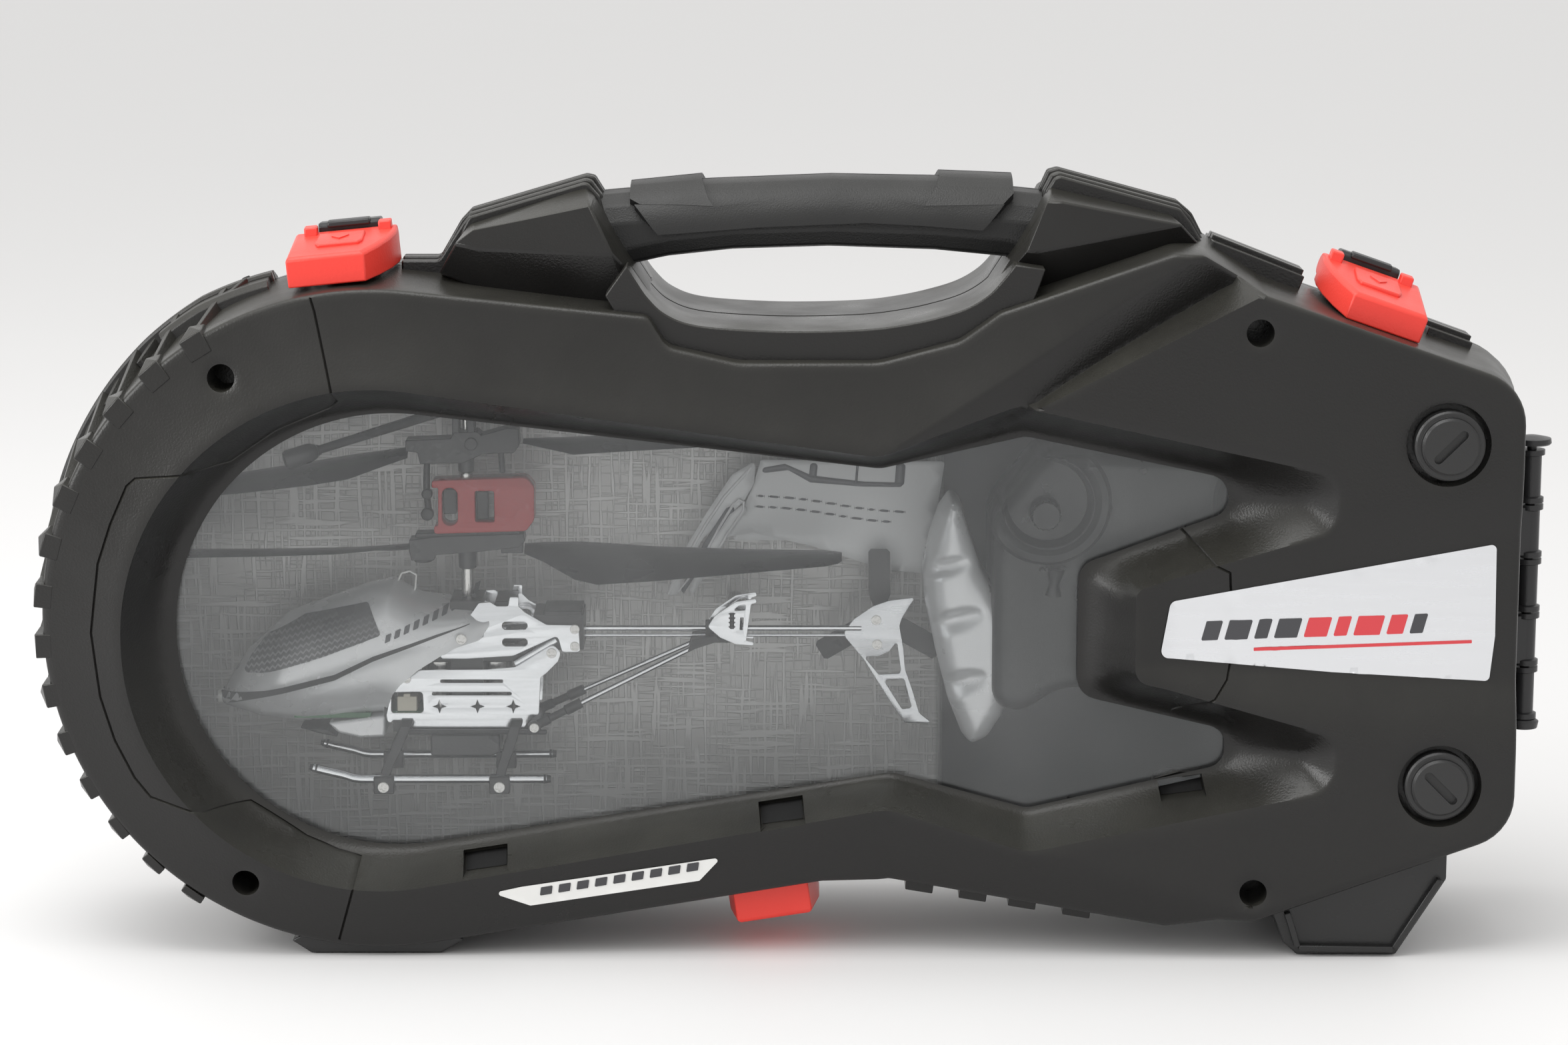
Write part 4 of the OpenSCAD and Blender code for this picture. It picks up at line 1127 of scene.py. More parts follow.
lid_handle = handle(1)
rear_handle = handle(-1)
done(lid_handle, "lid")
done(rear_handle, "case_rear")
done(cover(1), "lid", "front_grip_cover")
done(cover(-1), "case_rear", "rear_grip_cover")
done(lid, "lid", "front_shell", slot="case_plastic")
done(rear, "case_rear", "rear_shell", slot="case_plastic")


# ---------------------------------------------------------------- feet
def feet(sign):
    k = Kit()
    y0 = -38.5
    k.hull([(x, sign * y, z) for x, z in ((-150, 0.05), (-156, 4.0), (-150, 7.5), (-108, 8.0), (-103, 4.2),
                                          (-110, 0.05))
            for y in (y0 + 3, -0.5)])
    pts = [(145.0, 16.0), (149.2, 4.0), (153.5, 0.05), (184.0, 0.05), (199.0, 24.0), (199.0, 36.0)]
    k.hull([(x, sign * y, z) for x, z in pts for y in (y0 + 1.5, -0.5)])
    ob = k.object("foot_%s" % ("front" if sign > 0 else "rear"), M_FOOT, 30)
    # ribbed hollow seen in the wedge's front face
    k = Kit()
    for a, b in (((150.5, 14), (154, 3)), ((154, 3), (183, 2.6)), ((183, 2.6), (196.5, 24.5))):
        a, b = np.array(a), np.array(b)
        d = unit(b - a)
        n = np.array([-d[1], d[0]])
        k.hull([(q[0] + n[0] * h, sign * y, q[1] + n[1] * h) for q in (a, b) for h in (-1.3, 0.6)
                for y in (y0 - 0.9, y0 + 4)])
    ob2 = k.object("foot_rim", M_FOOT, 30)
    bevel(ob, 0.5)
    bevel(ob2, 0.4)
    bake(ob)
    bake(ob2)
    return join(ob.name + "_pads", [ob, ob2])


done(feet(1), "lid", "front_feet")
done(feet(-1), "case_rear", "rear_feet")

# ---------------------------------------------------------------- window pane
v2, f = triangulate([dense(rounded(inset(WINDOW, -3.0)), 3.0)], [], 6.0,
                    dense(rounded(inset(WINDOW, -3.0)), 3.0), None)
pv = [(p[0], PANE_Y, p[1]) for p in v2] + [(p[0], PANE_Y + 0.9, p[1]) for p in v2]
n0 = len(v2)
pf = [list(t) for t in f] + [[n0 + int(i) for i in t[::-1]] for t in f]
for lp in boundary_loops(f)[:1]:
    for i in range(len(lp)):
        a, b = lp[i], lp[(i + 1) % len(lp)]
        pf.append([b, a, n0 + a, n0 + b])
done(mesh_object("window_sheet", pv, pf, M_PANE, 30), "lid", "window_pane", slot="pane")


# ---------------------------------------------------------------- latches
def seat_matrix(x, z, deg):
    a = math.radians(deg)
    return Matrix(((math.cos(a), 0, math.sin(a), x), (0, 1, 0, 0), (-math.sin(a), 0, math.cos(a), z),
                   (0, 0, 0, 1)))


SEATS = {"latch_left": (-136.4, 207.0, -5.6), "latch_right": (171.4, 195.6, 19.4),
         "latch_bottom": (-9, 22.6, 171.2)}


def placed(k, start, name):
    m = seat_matrix(*SEATS[name])
    k.move(start, lambda p: np.array(m @ Vector(p)))


SLANT = [(-16.8, 0.5), (-16.6, -31.0), (7.0, -31.0), (10.6, -23.0), (13.4, -14.0), (14.9, -5.5),
         (15.0, 0.5)]
WEDGE = [(-14.0, 0.5), (-14.0, -15.0), (-11.6, -31.0), (11.6, -31.0), (14.0, -15.0), (14.0, 0.5)]


def latch(name, body, plan, skirt, front, slope):
    """Hollow cap over the hinge block; skirt and front are levels at its back and its free end."""
    k = Kit()
    uc = sum(u for u, _ in plan) / len(plan)

    def top_n(y):
        return front + (y + 31.0) * slope

    def low_n(y):
        return skirt[1] + (y + 31.0) / 31.0 * (skirt[0] - skirt[1])

    def drawn(u, y, g):
        e = -1 if u > uc else 1
        return (u + e * g, y + (g if y < -28 else 0.6 * g if y < -1 else 0))

    out = [(u, y, low_n(y)) for u, y in plan]
    mid = [(u, y, top_n(y) - 1.0) for u, y in plan]
    cap = [(*drawn(u, y, 0.9), top_n(y)) for u, y in plan]
    inn_low = [(*drawn(u, y, 2.2), low_n(y)) for u, y in plan]
    inn_top = [(*drawn(u, y, 2.2), top_n(y) - 2.4) for u, y in plan]
    n = len(plan)
    vs = out + mid + cap + inn_low + inn_top
    fs = []
    for i in range(n - 1):
        fs += [[i, i + 1, n + i + 1, n + i], [n + i, n + i + 1, 2 * n + i + 1, 2 * n + i],
               [3 * n + i + 1, 3 * n + i, 4 * n + i, 4 * n + i + 1], [i + 1, i, 3 * n + i, 3 * n + i + 1]]
    fs.append([2 * n + i for i in range(n)])
    fs.append([4 * n + i for i in range(n)][::-1])
    left = [0, n, 2 * n, 4 * n, 3 * n]
    right = [n - 1, 2 * n - 1, 3 * n - 1, 5 * n - 1, 4 * n - 1]
    fs += [left, right[::-1], [2 * n, 3 * n - 1, 5 * n - 1, 4 * n]]
    k.add(vs, fs)
    # cheeks that reach back to the pin, with rounded nubs
    tn = top_n(0)
    for s in (-1, 1):
        u0, u1 = s * 10.9, s * 13.9
        k.hull([(u, y, nn) for u in (u0, u1) for y, nn in ((-2, low_n(0) + 1.5), (-2, tn), (6.5, 12.6),
                                                           (8, 5.6))])
        k.lathe((min(u0, u1), 8, 9), (1, 0, 0), [(0, 1.0), (0.01, 3.4), (2.99, 3.4), (3.0, 1.0)], 20)
        k.hull([(u, y, nn) for u in (s * 9.4, s * 13.4) for y,
                nn in ((-4.5, tn - 1.6), (-4.0, tn + 2.0), (0.2, tn + 2.4), (0.4, tn - 1))])
    # raised tab with an arrow
    c = -1.5 if plan is SLANT else 0.0
    k.hull([(c + u, y, top_n(y) + h) for u, y in ((-6.2, -21.0), (6.2, -21.0), (7.2, -18.0), (7.2, -6.5),
                                                  (-7.2, -6.5), (-7.2, -18.0))
            for h in (-0.5, 0.9)])
    if plan is SLANT and name == "latch_right":
        for i, (u, y, nn) in enumerate(k.v):
            k.v[i] = (-u, y, nn)
        k.f = [q[::-1] for q in k.f]
    placed(k, 0, name)
    ob = bake(bevel(k.object(name + "_cap", M_RED, 28), 0.45, 2, 28))
    k = Kit()
    if name == "latch_right":
        c = -c
    for s in (-1, 1):
        k.hull([(c + s * a, y, top_n(y) + h) for a, y in ((0.0, -16.0), (0.0, -14.6), (2.6, -11.2),
                                                          (2.6, -12.6)) for h in (0.7, 1.3)])
    placed(k, 0, name)
    ob2 = k.object(name + "_arrow", M_RED, 28)
    ob = join(name + "_shape", [ob, ob2])
    return done(ob, body, name, slot="latch_red")


latch("latch_left", "left_latch", SLANT, (2.4, 0.5), 9.7, 0.11)
latch("latch_right", "right_latch", SLANT, (4.0, -1.0), 7.6, 0.17)
latch("latch_bottom", "bottom_latch", WEDGE, (1.7, 2.4), 13.0, 0.04)
k = Kit()
for name in SEATS:
    s = len(k.v)
    k.hull([(u, y, nn) for u in (-9.6, 9.6) for y, nn in ((1.4, 1.0), (1.4, 14.6), (3.0, 15.6),
                                                          (9.5, 15.4), (13.6, 11), (14, 1.0))])
    k.hull([(u, y, nn) for u in (-6.6, 6.6) for y, nn in ((-0.4, 14.2), (0.0, 16.0), (4.0, 16.3),
                                                          (4.2, 14.0))])
    placed(k, s, name)
done(bevel(k.object("latch_hinge_blocks", M_BLACK, 28), 0.5), "case_rear", "latch_brackets")

# ---------------------------------------------------------------- label and sticker
def patch(name, corners, mat, lift=0.12, spacing=2.5, fn=relief):
    lp = dense(rounded(corners), 1.6)
    v, f = triangulate([lp], [], spacing, lp, None)
    d = fn(v)
    ob = mesh_object(name, [(p[0], q - HALF - lift, p[1]) for p, q in zip(v, d)], [list(t) for t in f],
                     mat, 40)
    thicken(ob, 0.15, 1.0)
    sharpen(ob.data, 40)
    return ob


lab = patch("side_badge", [(109.5, 94.4, 2.5), (112.6, 111.6, 2.5), (210.6, 129.4, 1.5), (211.0, 101, 2),
                           (209.6, 87, 1.5),
                           (162, 89.8, 3), (132, 92.4, 3)], M_SLABEL, 0.25)
# generic print: slanted bars in place of lettering
bars = []
for x0, x1, mat in ((122, 127, M_PRINT), (129, 136, M_PRINT), (138, 142, M_PRINT), (144, 151, M_PRINT),
                                   (153, 160, M_PRINT_RED), (162, 166, M_PRINT_RED),
                                   (168, 176, M_PRINT_RED),
                                   (178, 183, M_PRINT_RED), (185, 189, M_PRINT)):
    z0, z1 = 99.6 + (x0 - 122) * 0.035, 105.6 + (x0 - 122) * 0.035
    bars.append(patch("bar", [(x0, z0, 0.4), (x0 + 1.6, z1, 0.4), (x1 + 1.6, z1 + 0.2, 0.4),
                              (x1, z0 + 0.2, 0.4)], mat,
                      0.42, 3.0))
bars.append(patch("rule", [(138, 96.4, 0.2), (138, 97.4, 0.2), (204, 99.8, 0.2), (204, 98.8, 0.2)],
                  M_PRINT_RED, 0.42, 6.0))
done(join("side_badge_printed", [lab] + bars), "lid", "side_label")
stk = patch("stripe_sticker", [(-93.4, 21.2, 0.8), (-84.6, 23.2, 0.8), (-23.4, 32.4, 0.8),
                               (-30.2, 24.6, 0.8), (-82, 16.8, 0.8)],
            M_WHITE, 0.2)
bars = []
for i in range(9):
    x0 = -79 + i * 5.6
    z0 = 20.2 + (x0 + 79) * 0.165
    bars.append(patch("bar", [(x0, z0, 0.3), (x0 + 0.4, z0 + 2.8, 0.3), (x0 + 4.0, z0 + 3.4, 0.3),
                              (x0 + 3.6, z0 + 0.6, 0.3)],
                      M_PRINT, 0.37, 3.0))
done(join("stripe_sticker_printed", [stk] + bars), "lid", "flag_sticker")


# painted shade: near-black sheets on the bottoms of the three slots along the lower ledge, standing in for
# the shade of deeper holes
slot_shade_sheets = [patch("slot", [(*c, 0.3) for c in slot_loop(x, z, -0.55)], M_SLOT_SHADE, 0.3) for x, z in SLOTS]
done(join("slot_painted_shades", slot_shade_sheets), "lid")


# ---------------------------------------------------------------- locks
def lock(name, x, z, turn, body):
    k = Kit()
    k.lathe((x, -37.6, z), (0, -1, 0), [(0, 4.0), (0.1, 10.4), (4.2, 10.7), (5.6, 10.6), (6.2, 10.0),
                                        (6.25, 9.0), (6.25, 8.9),
                                      (7.5, 8.7), (8.3, 8.0), (8.35, 7.0), (8.35, 0.4)], 56)
    ob = k.object(name + "_plug", M_LOCK, 30)
    a = math.radians(turn)
    e = np.array([math.cos(a), math.sin(a)])
    n = np.array([-e[1], e[0]])
    c = Kit()
    pts = []
    for s in (-1, 1):
        for t in np.linspace(-90, 90, 9):
            r = math.radians(t)
            q = e * s * (5.2 + 1.35 * math.cos(r)) + n * 1.35 * math.sin(r) * s
            pts.append(q)
    loop = [(x + q[0], z + q[1]) for q in pts]
    c.prism(loop, -47.5, -44.4)
    cut = c.object("cut", M_LOCK, 30)
    bo = ob.modifiers.new("slot", "BOOLEAN")
    bo.operation = "DIFFERENCE"
    bo.solver = "EXACT"
    bo.object = cut
    bpy.context.view_layer.update()
    bake(ob)
    bpy.data.objects.remove(cut)
    sharpen(ob.data, 30)
    bevel(ob, 0.18, 2, 40)
    return done(ob, body, name)


lock("lock_upper", 195.0, 160.0, 45, "upper_lock")
lock("lock_lower", 195.0, 55.0, -45, "lower_lock")

# ---------------------------------------------------------------- parts shared by the contents
def mirrored(ob, y=HY):
    me = ob.data.copy()
    for v in me.vertices:
        v.co.y = 2 * y * MM - v.co.y
    me.flip_normals()
    return linked(ob.name + "_b", me)


def both(name, ob):
    return join(name, [ob, mirrored(ob)])


def stadium(x0, x1, z0, z1):
    r = min(x1 - x0, z1 - z0) * 0.48
    return rounded([(x0, z0, r), (x0, z1, r), (x1, z1, r), (x1, z0, r)], 0.8)


def cross_hole():
    a, b = 0.20, 0.68
    return np.array([(-a, -b), (-a, -a), (-b, -a), (-b, a), (-a, a), (-a, b), (a, b), (a, a), (b, a),
                     (b, -a),
                     (a, -a), (a, -b)])


HEAD = plate("head", circle(0, 0, 1, 20), [cross_hole()], -0.3, 0.0, M_STEEL, 0.05)
HEAD_V = [tuple(1000 * c for c in v.co) for v in HEAD.data.vertices]
HEAD_F = [list(q.vertices) for q in HEAD.data.polygons]
bpy.data.objects.remove(HEAD)


def screw(k, x, y, z, r, turn=20, sign=1):
    """Cross-headed screw whose head stands proud of y towards the viewer."""
    c, s = math.cos(math.radians(turn)), math.sin(math.radians(turn))
    base = y - sign * 0.35
    k.lathe((x, y + sign * 0.2, z), (0, -sign, 0), [(0, r), (0.5, r), (0.56, r * 0.9), (0.561, 0.1)], 20)
    vs = [(x + r * 0.93 * (a * c - b * s), base + sign * h * 0.9, z + r * 0.93 * (a * s + b * c)) for a, h,
          b in HEAD_V]
    k.add(vs, HEAD_F if sign > 0 else [f[::-1] for f in HEAD_F])


# ---------------------------------------------------------------- helicopter: canopy
CANOPY = [(-182.8, 69.5, 2.5), (-178.6, 77.7, 6), (-172.7, 86.7, 10), (-160.5, 98.2, 12),
          (-147.6, 103.1, 10),
          (-134.7, 107.6, 10), (-126.7, 109.6, 3), (-122, 106.7, 2), (-118, 104.7, 3), (-112.5, 103.9, 3),
          (-100.5, 103.1, 4), (-97, 99.8, 2), (-96.2, 96.5, 2), (-99.1, 92, 3), (-107.9, 89.2, 6),
          (-118.4, 82.6, 6), (-124.1, 77.7, 3), (-126.6, 74.4, 3), (-128.7, 69.5, 1.2), (-128.7, 67, 0.8),
          (-145.2, 64.5, 8), (-154.9, 63.7, 10), (-169.3, 65.3, 5)]
BACK_RIM = np.array([(-97, 99.8), (-96.2, 96.5), (-99.1, 92), (-107.9, 89.2), (-118.4, 82.6),
                     (-124.1, 77.7),
                     (-126.6, 74.4), (-128.7, 69.5), (-128.7, 67)])
L_CAN = dense(rounded(CANOPY, 2.0), 1.5)
shut = seg_distance(L_CAN, BACK_RIM, closed=False) > 0.8
first = [i for i in range(len(shut)) if shut[i] and not shut[i - 1]][0]
RIM = np.roll(L_CAN, -first, axis=0)[:int(shut.sum())]


def swell(p):
    """Half width of the canopy at points of its side view."""
    d = seg_distance(p, RIM, closed=False)
    u = np.clip(d / 17.5, 0, 1)
    h = 15.4 * (1 - (1 - u) ** 2.3) ** (1 / 2.05)
    ridge = side_of(p, (-181.4, 72.5), (-99.5, 99.0))
    h = h - 1.5 * np.clip(ridge / 5.0, 0, 1) * np.clip(d / 6, 0, 1)
    return h * np.clip(0.62 + (p[:, 0] + 184) / 60.0, 0, 1)


loops = [L_CAN] + [dense(rounded(inset(CANOPY, g), 2.0), 1.6) for g in (0.25, 0.8, 1.8, 3.2)]
v2, f = triangulate(loops, [], 1.9, L_CAN, None, 0.6)
h = swell(v2)
h = np.where(seg_distance(v2, RIM, closed=False) < 0.02, 0.0, h)
cv = [(p[0], HY - q, p[1]) for p, q in zip(v2, h)] + [(p[0], HY + q, p[1]) for p, q in zip(v2, h)]
cf = [list(t) for t in f] + [[len(v2) + int(i) for i in t[::-1]] for t in f]
shell = mesh_object("canopy_body", cv, cf, M_SILVER, None)
bm = bmesh.new()
bm.from_mesh(shell.data)
bmesh.ops.remove_doubles(bm, verts=bm.verts, dist=2e-6)
bmesh.ops.recalc_face_normals(bm, faces=bm.faces)
if sum(q.normal.y * q.calc_area() for q in bm.faces if q.calc_center_median().y < HY * MM) > 0:
    bmesh.ops.reverse_faces(bm, faces=bm.faces)
bm.to_mesh(shell.data)
bm.free()
thicken(shell, 0.9, -1.0)
sharpen(shell.data, 42)
k = Kit()
k.prism([(-147.4, 64.6), (-144.2, 61.4), (-137.3, 59.8), (-129.4, 60.2), (-129.3, 67), (-140, 65.6)], -1.6,
        17.6)
chin = bake(bevel(k.object("chin", M_SILVER, 30), 0.9, 3))
k = Kit()
k.prism([(-156.5, 62.6), (-147.6, 62.2), (-144.6, 59.6), (-150.5, 60.8)], 0.5, 15.5)
under = bake(bevel(k.object("under", M_BLACK, 30), 0.5, 2))
done(join("canopy_painted", [shell, chin, under]), "case_rear", "canopy", slot="silver_plastic")


def on_canopy(p):
    return HALF + HY - swell(p)


vis = patch("visor", [(-133.8, 103.8, 1), (-129.6, 94.1, 1), (-147.7, 87.2, 3), (-164.6, 81.9, 3),
                      (-174.0, 80.4, 1),
                      (-171.0, 86.2, 2), (-166, 92.4, 3), (-153.8, 99.2, 5)][::-1], M_VISOR, 0.14, 2.2,
                      on_canopy)
stripe = patch("stripe", [(-181.4, 73.6, 0.5), (-181.0, 69.6, 0.5), (-166.1, 73.6, 2), (-144.4, 79.4, 2),
                          (-132.3, 85.6, 2),
                          (-112.3, 93.2, 2), (-99.2, 98.0, 0.1), (-112.3, 94.1, 2), (-132.3, 87.2, 2),
                          (-144.4, 81.3, 2),
                          (-166.1, 75.8, 2)], M_BLACK, 0.12, 2.2, on_canopy)
bars = []
for i in range(10):
    x0 = -128.5 + i * 2.9
    z0 = 91.5 + (x0 + 128.5) * 0.44
    bars.append(patch("bar", [(x0, z0, 0.2), (x0 + 0.5, z0 + 2.6, 0.2), (x0 + 2.2, z0 + 3.4, 0.2),
                              (x0 + 1.7, z0 + 0.8, 0.2)],
                      M_PRINT_GREY, 0.14, 2.0, on_canopy))
trim = join("canopy_trim", [vis, stripe] + bars)
k = Kit()
screw(k, -104.7, HY - 14.6, 92.7, 1.7, 35)
trim = join("canopy_trim", [trim, k.object("s", M_STEEL, 30)])
done(both("canopy_markings", trim), "case_rear", "canopy_panels")

# ---------------------------------------------------------------- helicopter: frames and screws
top_plate = plate("up", rounded([(-99.5, 103.2, 1), (-95.9, 103.5, 0.8), (-93.9, 102.2, 0.6),
                                 (-90.3, 102.2, 0.6),
                                 (-89.8, 105.1, 0.5), (-87, 105.1, 0.5), (-87.1, 102.2, 0.5),
                                 (-85.1, 100.2, 0.8),
                                 (-78.4, 96.3, 1.5), (-68.4, 96.1, 1), (-68, 87.5, 1), (-73.6, 87.5, 1),
                                 (-75.0, 92.8, 1.2),
                                 (-88.9, 86.3, 3), (-103.3, 85.4, 3), (-112.9, 85.4, 1),
                                 (-108.1, 90.7, 3)], 1.0),
                  [stadium(-92.3, -84.4, 94.7, 97.2), stadium(-92.3, -84.4, 89.4, 91.9)], HY - 10,
                  HY - 8.8, M_POLISH, 0.15)
star = [np.array([(x + r * math.cos(a), 70.1 + r * math.sin(a)) for a, r in
                  [(math.radians(45 * j),
                    2.1 if j % 2 == 0 else 0.8) for j in range(8)]]) for x in (-112.2, -100.3, -89.1)]
low_plate = plate("lo", rounded([(-126.9, 79.2, 1.5), (-118.6, 81.8, 3), (-97, 82, 8), (-88.1, 82.8, 4),
                                 (-79.4, 88.2, 1.5),
                                 (-76.4, 90.0, 1.9), (-74.0, 87.5, 2), (-74.9, 84.6, 2), (-78.5, 80.9, 1),
                                 (-80.5, 79.3, 1), (-81.1, 67.7, 1), (-84.3, 65.7, 1), (-86, 62.8, 1),
                                 (-120.5, 62.8, 1),
                                 (-122.1, 65.7, 0.8), (-127.0, 65.7, 0.8), (-128.2, 62.8, 0.8),
                                 (-128.9, 67.3, 1),
                                 (-127.6, 73.1, 2)], 1.0),
                  [stadium(-111.8, -92.2, 77.7, 78.7), stadium(-114.5, -89.6, 73.7, 74.7),
                   rounded([(-127.4, 68, 1), (-127.2, 74.6, 1), (-117.4, 74.8, 1.2), (-117.2, 68, 1.2)],
                           0.8)] + star,
                  HY - 10, HY - 8.8, M_POLISH, 0.15)
done(both("frame_plates_top", top_plate), "case_rear", "upper_frames")
done(both("frame_plates_low", low_plate), "case_rear", "lower_frames")
k = Kit()
for x, z, r in ((-69.6, 94.9, 1.5), (-69.6, 89.4, 1.5), (-76.9, 87.3, 1.6), (-122.3, 78.9, 1.3)):
    screw(k, x, HY - 10, z, r, 15 + 37 * (x + z) % 50)
for x, z in ((-129.4, 46.2), (-93.2, 46.2)):
    screw(k, x, HY - SKID - 2.6, z, 1.75, 12)
screw(k, -82.4, HY - 13.2, 64.0, 1.5, 30)
done(both("frame_screw_heads", k.object("fs", M_STEEL, 30)), "case_rear", "frame_screws")
# inner parts seen through the frames
k = Kit()
k.box(-128.4, -117, HY - 8.4, HY + 8.4, 66.6, 68.2)
board = k.object("board", M_BOARD, 30)
k = Kit()
for y0 in (HY - 8.6, HY + 3.6):
    k.box(-125.6, -119.4, y0, y0 + 5.0, 68.2, 73.0)
    k.box(-123.6, -121.4, y0 - 0.2, y0 + 5.2, 72.6, 73.9)
plug = bake(bevel(k.object("plug", M_IVORY, 30), 0.3))
k = Kit()
k.tube([(-125.5, HY - 1, 108.2), (-124, HY - 2.5, 111.2), (-121.4, HY - 3, 112.0), (-119.4, HY - 3, 110.8),
        (-119.8, HY - 2, 106.6),
        (-121, HY, 103.5)], 0.33, 8)
lead = k.object("lead", M_WHITE, 40)
k = Kit()
k.box(-79.4, -67.4, HY - 8.2, HY + 8.2, 96.5, 100.3)
k.box(-94.6, -88.2, HY - 8.3, HY + 8.3, 98.6, 103.4)
k.box(-119, -84, HY - 7.0, HY + 7.0, 83.8, 86.2)
k.box(-104, -100.5, HY - 7.4, HY + 7.4, 86.2, 87.2)
for y in (HY - 11.2, HY + 11.2):
    k.tube([(-122, y, 62.2), (-78.6, y, 62.2)], 0.85, 12)
block = bake(bevel(k.object("blocks", M_BLACK, 30), 0.35))
k = Kit()
for s in (-1, 1):
    k.tube([(-75.4, HY + s * 7.6, 91.0), (-88.4, HY + s * 7.6, 83.4)], 1.45, 20)
rod = k.object("rod", M_POLISH, 30)
done(join("frame_fillings", [board, plug, lead, block, rod]), "case_rear")

# ---------------------------------------------------------------- helicopter: landing gear and battery
k = Kit()
for x0, x1 in ((-122.4, -129.3), (-88.0, -93.2)):
    path = [(x0, HY - 8.0, 65.6), (x0, HY - 10.6, 65.4), (x0 - 0.4, HY - 12.2, 63.9),
            (x0 + (x1 - x0) * 0.45, HY - 14.4, 57.5),
            (x0 + (x1 - x0) * 0.8, HY - 15.6, 52.5), (x1, HY - 16.0, 48.6)]
    rings = []
    for i, p in enumerate(path):
        p = np.array(p)
        d = unit(np.array(path[min(i + 1, 5)]) - np.array(path[max(i - 1, 0)]))
        n = unit(np.cross(d, (1.0, 0, 0)))
        w = 1.9 - 0.06 * i
        rings.append([p + np.array([sx * w, 0, 0]) + n * sn * 0.65 for sx,
                      sn in ((-1, -1), (1, -1), (1, 1), (-1, 1))])
    k.loft(rings)
    k.box(x1 - 3.2, x1 + 3.2, HY - SKID - 2.6, HY - SKID + 2.2, 44.0, 49.4)
legs = bake(bevel(k.object("legs", M_BLACK, 25), 0.35))
done(both("skid_straps", legs), "case_rear", "skid_legs")
k = Kit()
ys = HY - SKID
k.tube([(-151.5, ys, 51.9), (-148, ys, 51.0), (-142, ys, 49.6), (-139, ys, 48.6), (-136.6, ys, 48.3),
        (-128, ys, 48.3), (-78.5, ys, 48.3)],
       1.35, 20)
tubes = k.object("tubes", M_POLISH, 40)
k = Kit()
k.tube([(-152.6, ys, 52.2), (-150.2, ys, 51.6)], [0.9, 1.5], 16)
k.tube([(-79.4, ys, 48.3), (-77.2, ys, 48.3)], [1.5, 1.1], 16)
ends = k.object("ends", M_BLACK, 40)
done(both("skid_runners", join("r", [tubes, ends])), "case_rear", "skid_tubes")
k = Kit()
k.prism(rounded([(-115.5, 53.2, 1), (-115.5, 60.4, 1), (-93.6, 60.4, 1), (-93.6, 54.4, 0.8),
                 (-96.4, 53.2, 0.8)], 0.8), HY - 7, HY + 7)
cell = bevel(k.object("cell_pack", M_CELL, 30), 0.6)
done(cell, "case_rear", "battery")

# ---------------------------------------------------------------- helicopter: hubs, cage and blades
def wing(k, side, stations, thick=0.9):
    """Blade along X; each station is (radius, near y, near z, far y, far z)."""
    rings = []
    for r, y0, z0, y1, z1 in stations:
        a, b = np.array([y0, z0]), np.array([y1, z1])
        t = unit(b - a)
        n = np.array([-t[1], t[0]])
        if n[1] < 0:
            n = -n
        ring = []
        for s, h in ((0, 0), (0.12, 0.55), (0.35, 0.9), (0.65, 0.75), (0.9, 0.3), (1, 0), (0.7, -0.25),
                     (0.3, -0.3)):
            q = a + (b - a) * s + n * (thick * h + 0.9 * math.sin(math.pi * s))
            ring.append((MAST + side * r, q[0], q[1]))
        rings.append(ring)
    k.loft(rings)


k = Kit()
wing(k, 1, [(18, 4.5, 117.6, 11.5, 119.4), (24, 2.5, 115.5, 13.5, 119.6), (34, -1.6, 110.6, 17.5, 119.0),
            (41, -2.6, 109.2, 18.6, 118.4), (60, -2.6, 110.4, 18.4, 117.2), (90, -2.3, 113.0, 17.8, 116.4),
            (112, -1.6, 114.8, 16.6, 116.4), (116, 0.6, 115.2, 14.0, 116.3),
            (117.3, 3.4, 115.5, 11.0, 116.1)])
wing(k, -1, [(18, 4.5, 119.4, 11.5, 117.6), (24, 2.5, 119.4, 13.5, 116.8), (34, -1.6, 119.2, 17.5, 116.0),
             (41, -2.6, 118.8, 18.6, 115.8), (60, -2.6, 118.2, 18.4, 115.6), (90, -2.3, 117.6, 17.8, 115.8),
             (104, -1.0, 117.2, 16.6, 116.0), (108, 1.6, 116.9, 14.0, 116.1),
             (109.5, 4.4, 116.7, 11.0, 116.2)])
low_blades = k.object("low_blades", M_BLADE, 35)
done(low_blades, "lower_rotor", "lower_blades")
k = Kit()
wing(k, -1, [(18, 4.5, 148.0, 11.5, 150.2), (24, 2.6, 146.2, 13.4, 149.2), (36, -1.8, 142.4, 17.4, 147.0),
             (48, -2.6, 140.6, 18.2, 144.8), (70, -2.4, 138.0, 18.0, 141.4), (92, -1.8, 136.2, 17.2, 138.4),
             (104, -0.6, 135.4, 15.8, 137.0), (108.6, 2.6, 135.2, 12.4, 136.2)])
wing(k, 1, [(18, 4.5, 152.6, 11.5, 151.4), (24, 2.6, 151.6, 13.4, 152.4), (34, -1.8, 150.2, 17.4, 152.6),
            (48, -2.6, 151.2, 18.2, 153.2), (70, -2.4, 152.4, 18.0, 154.2), (92, -1.8, 153.6, 17.2, 155.0),
            (104, -0.6, 154.4, 15.8, 155.4), (108.6, 2.6, 154.8, 12.4, 155.4)])
done(k.object("up_blades", M_BLADE, 35), "upper_rotor", "upper_blades")

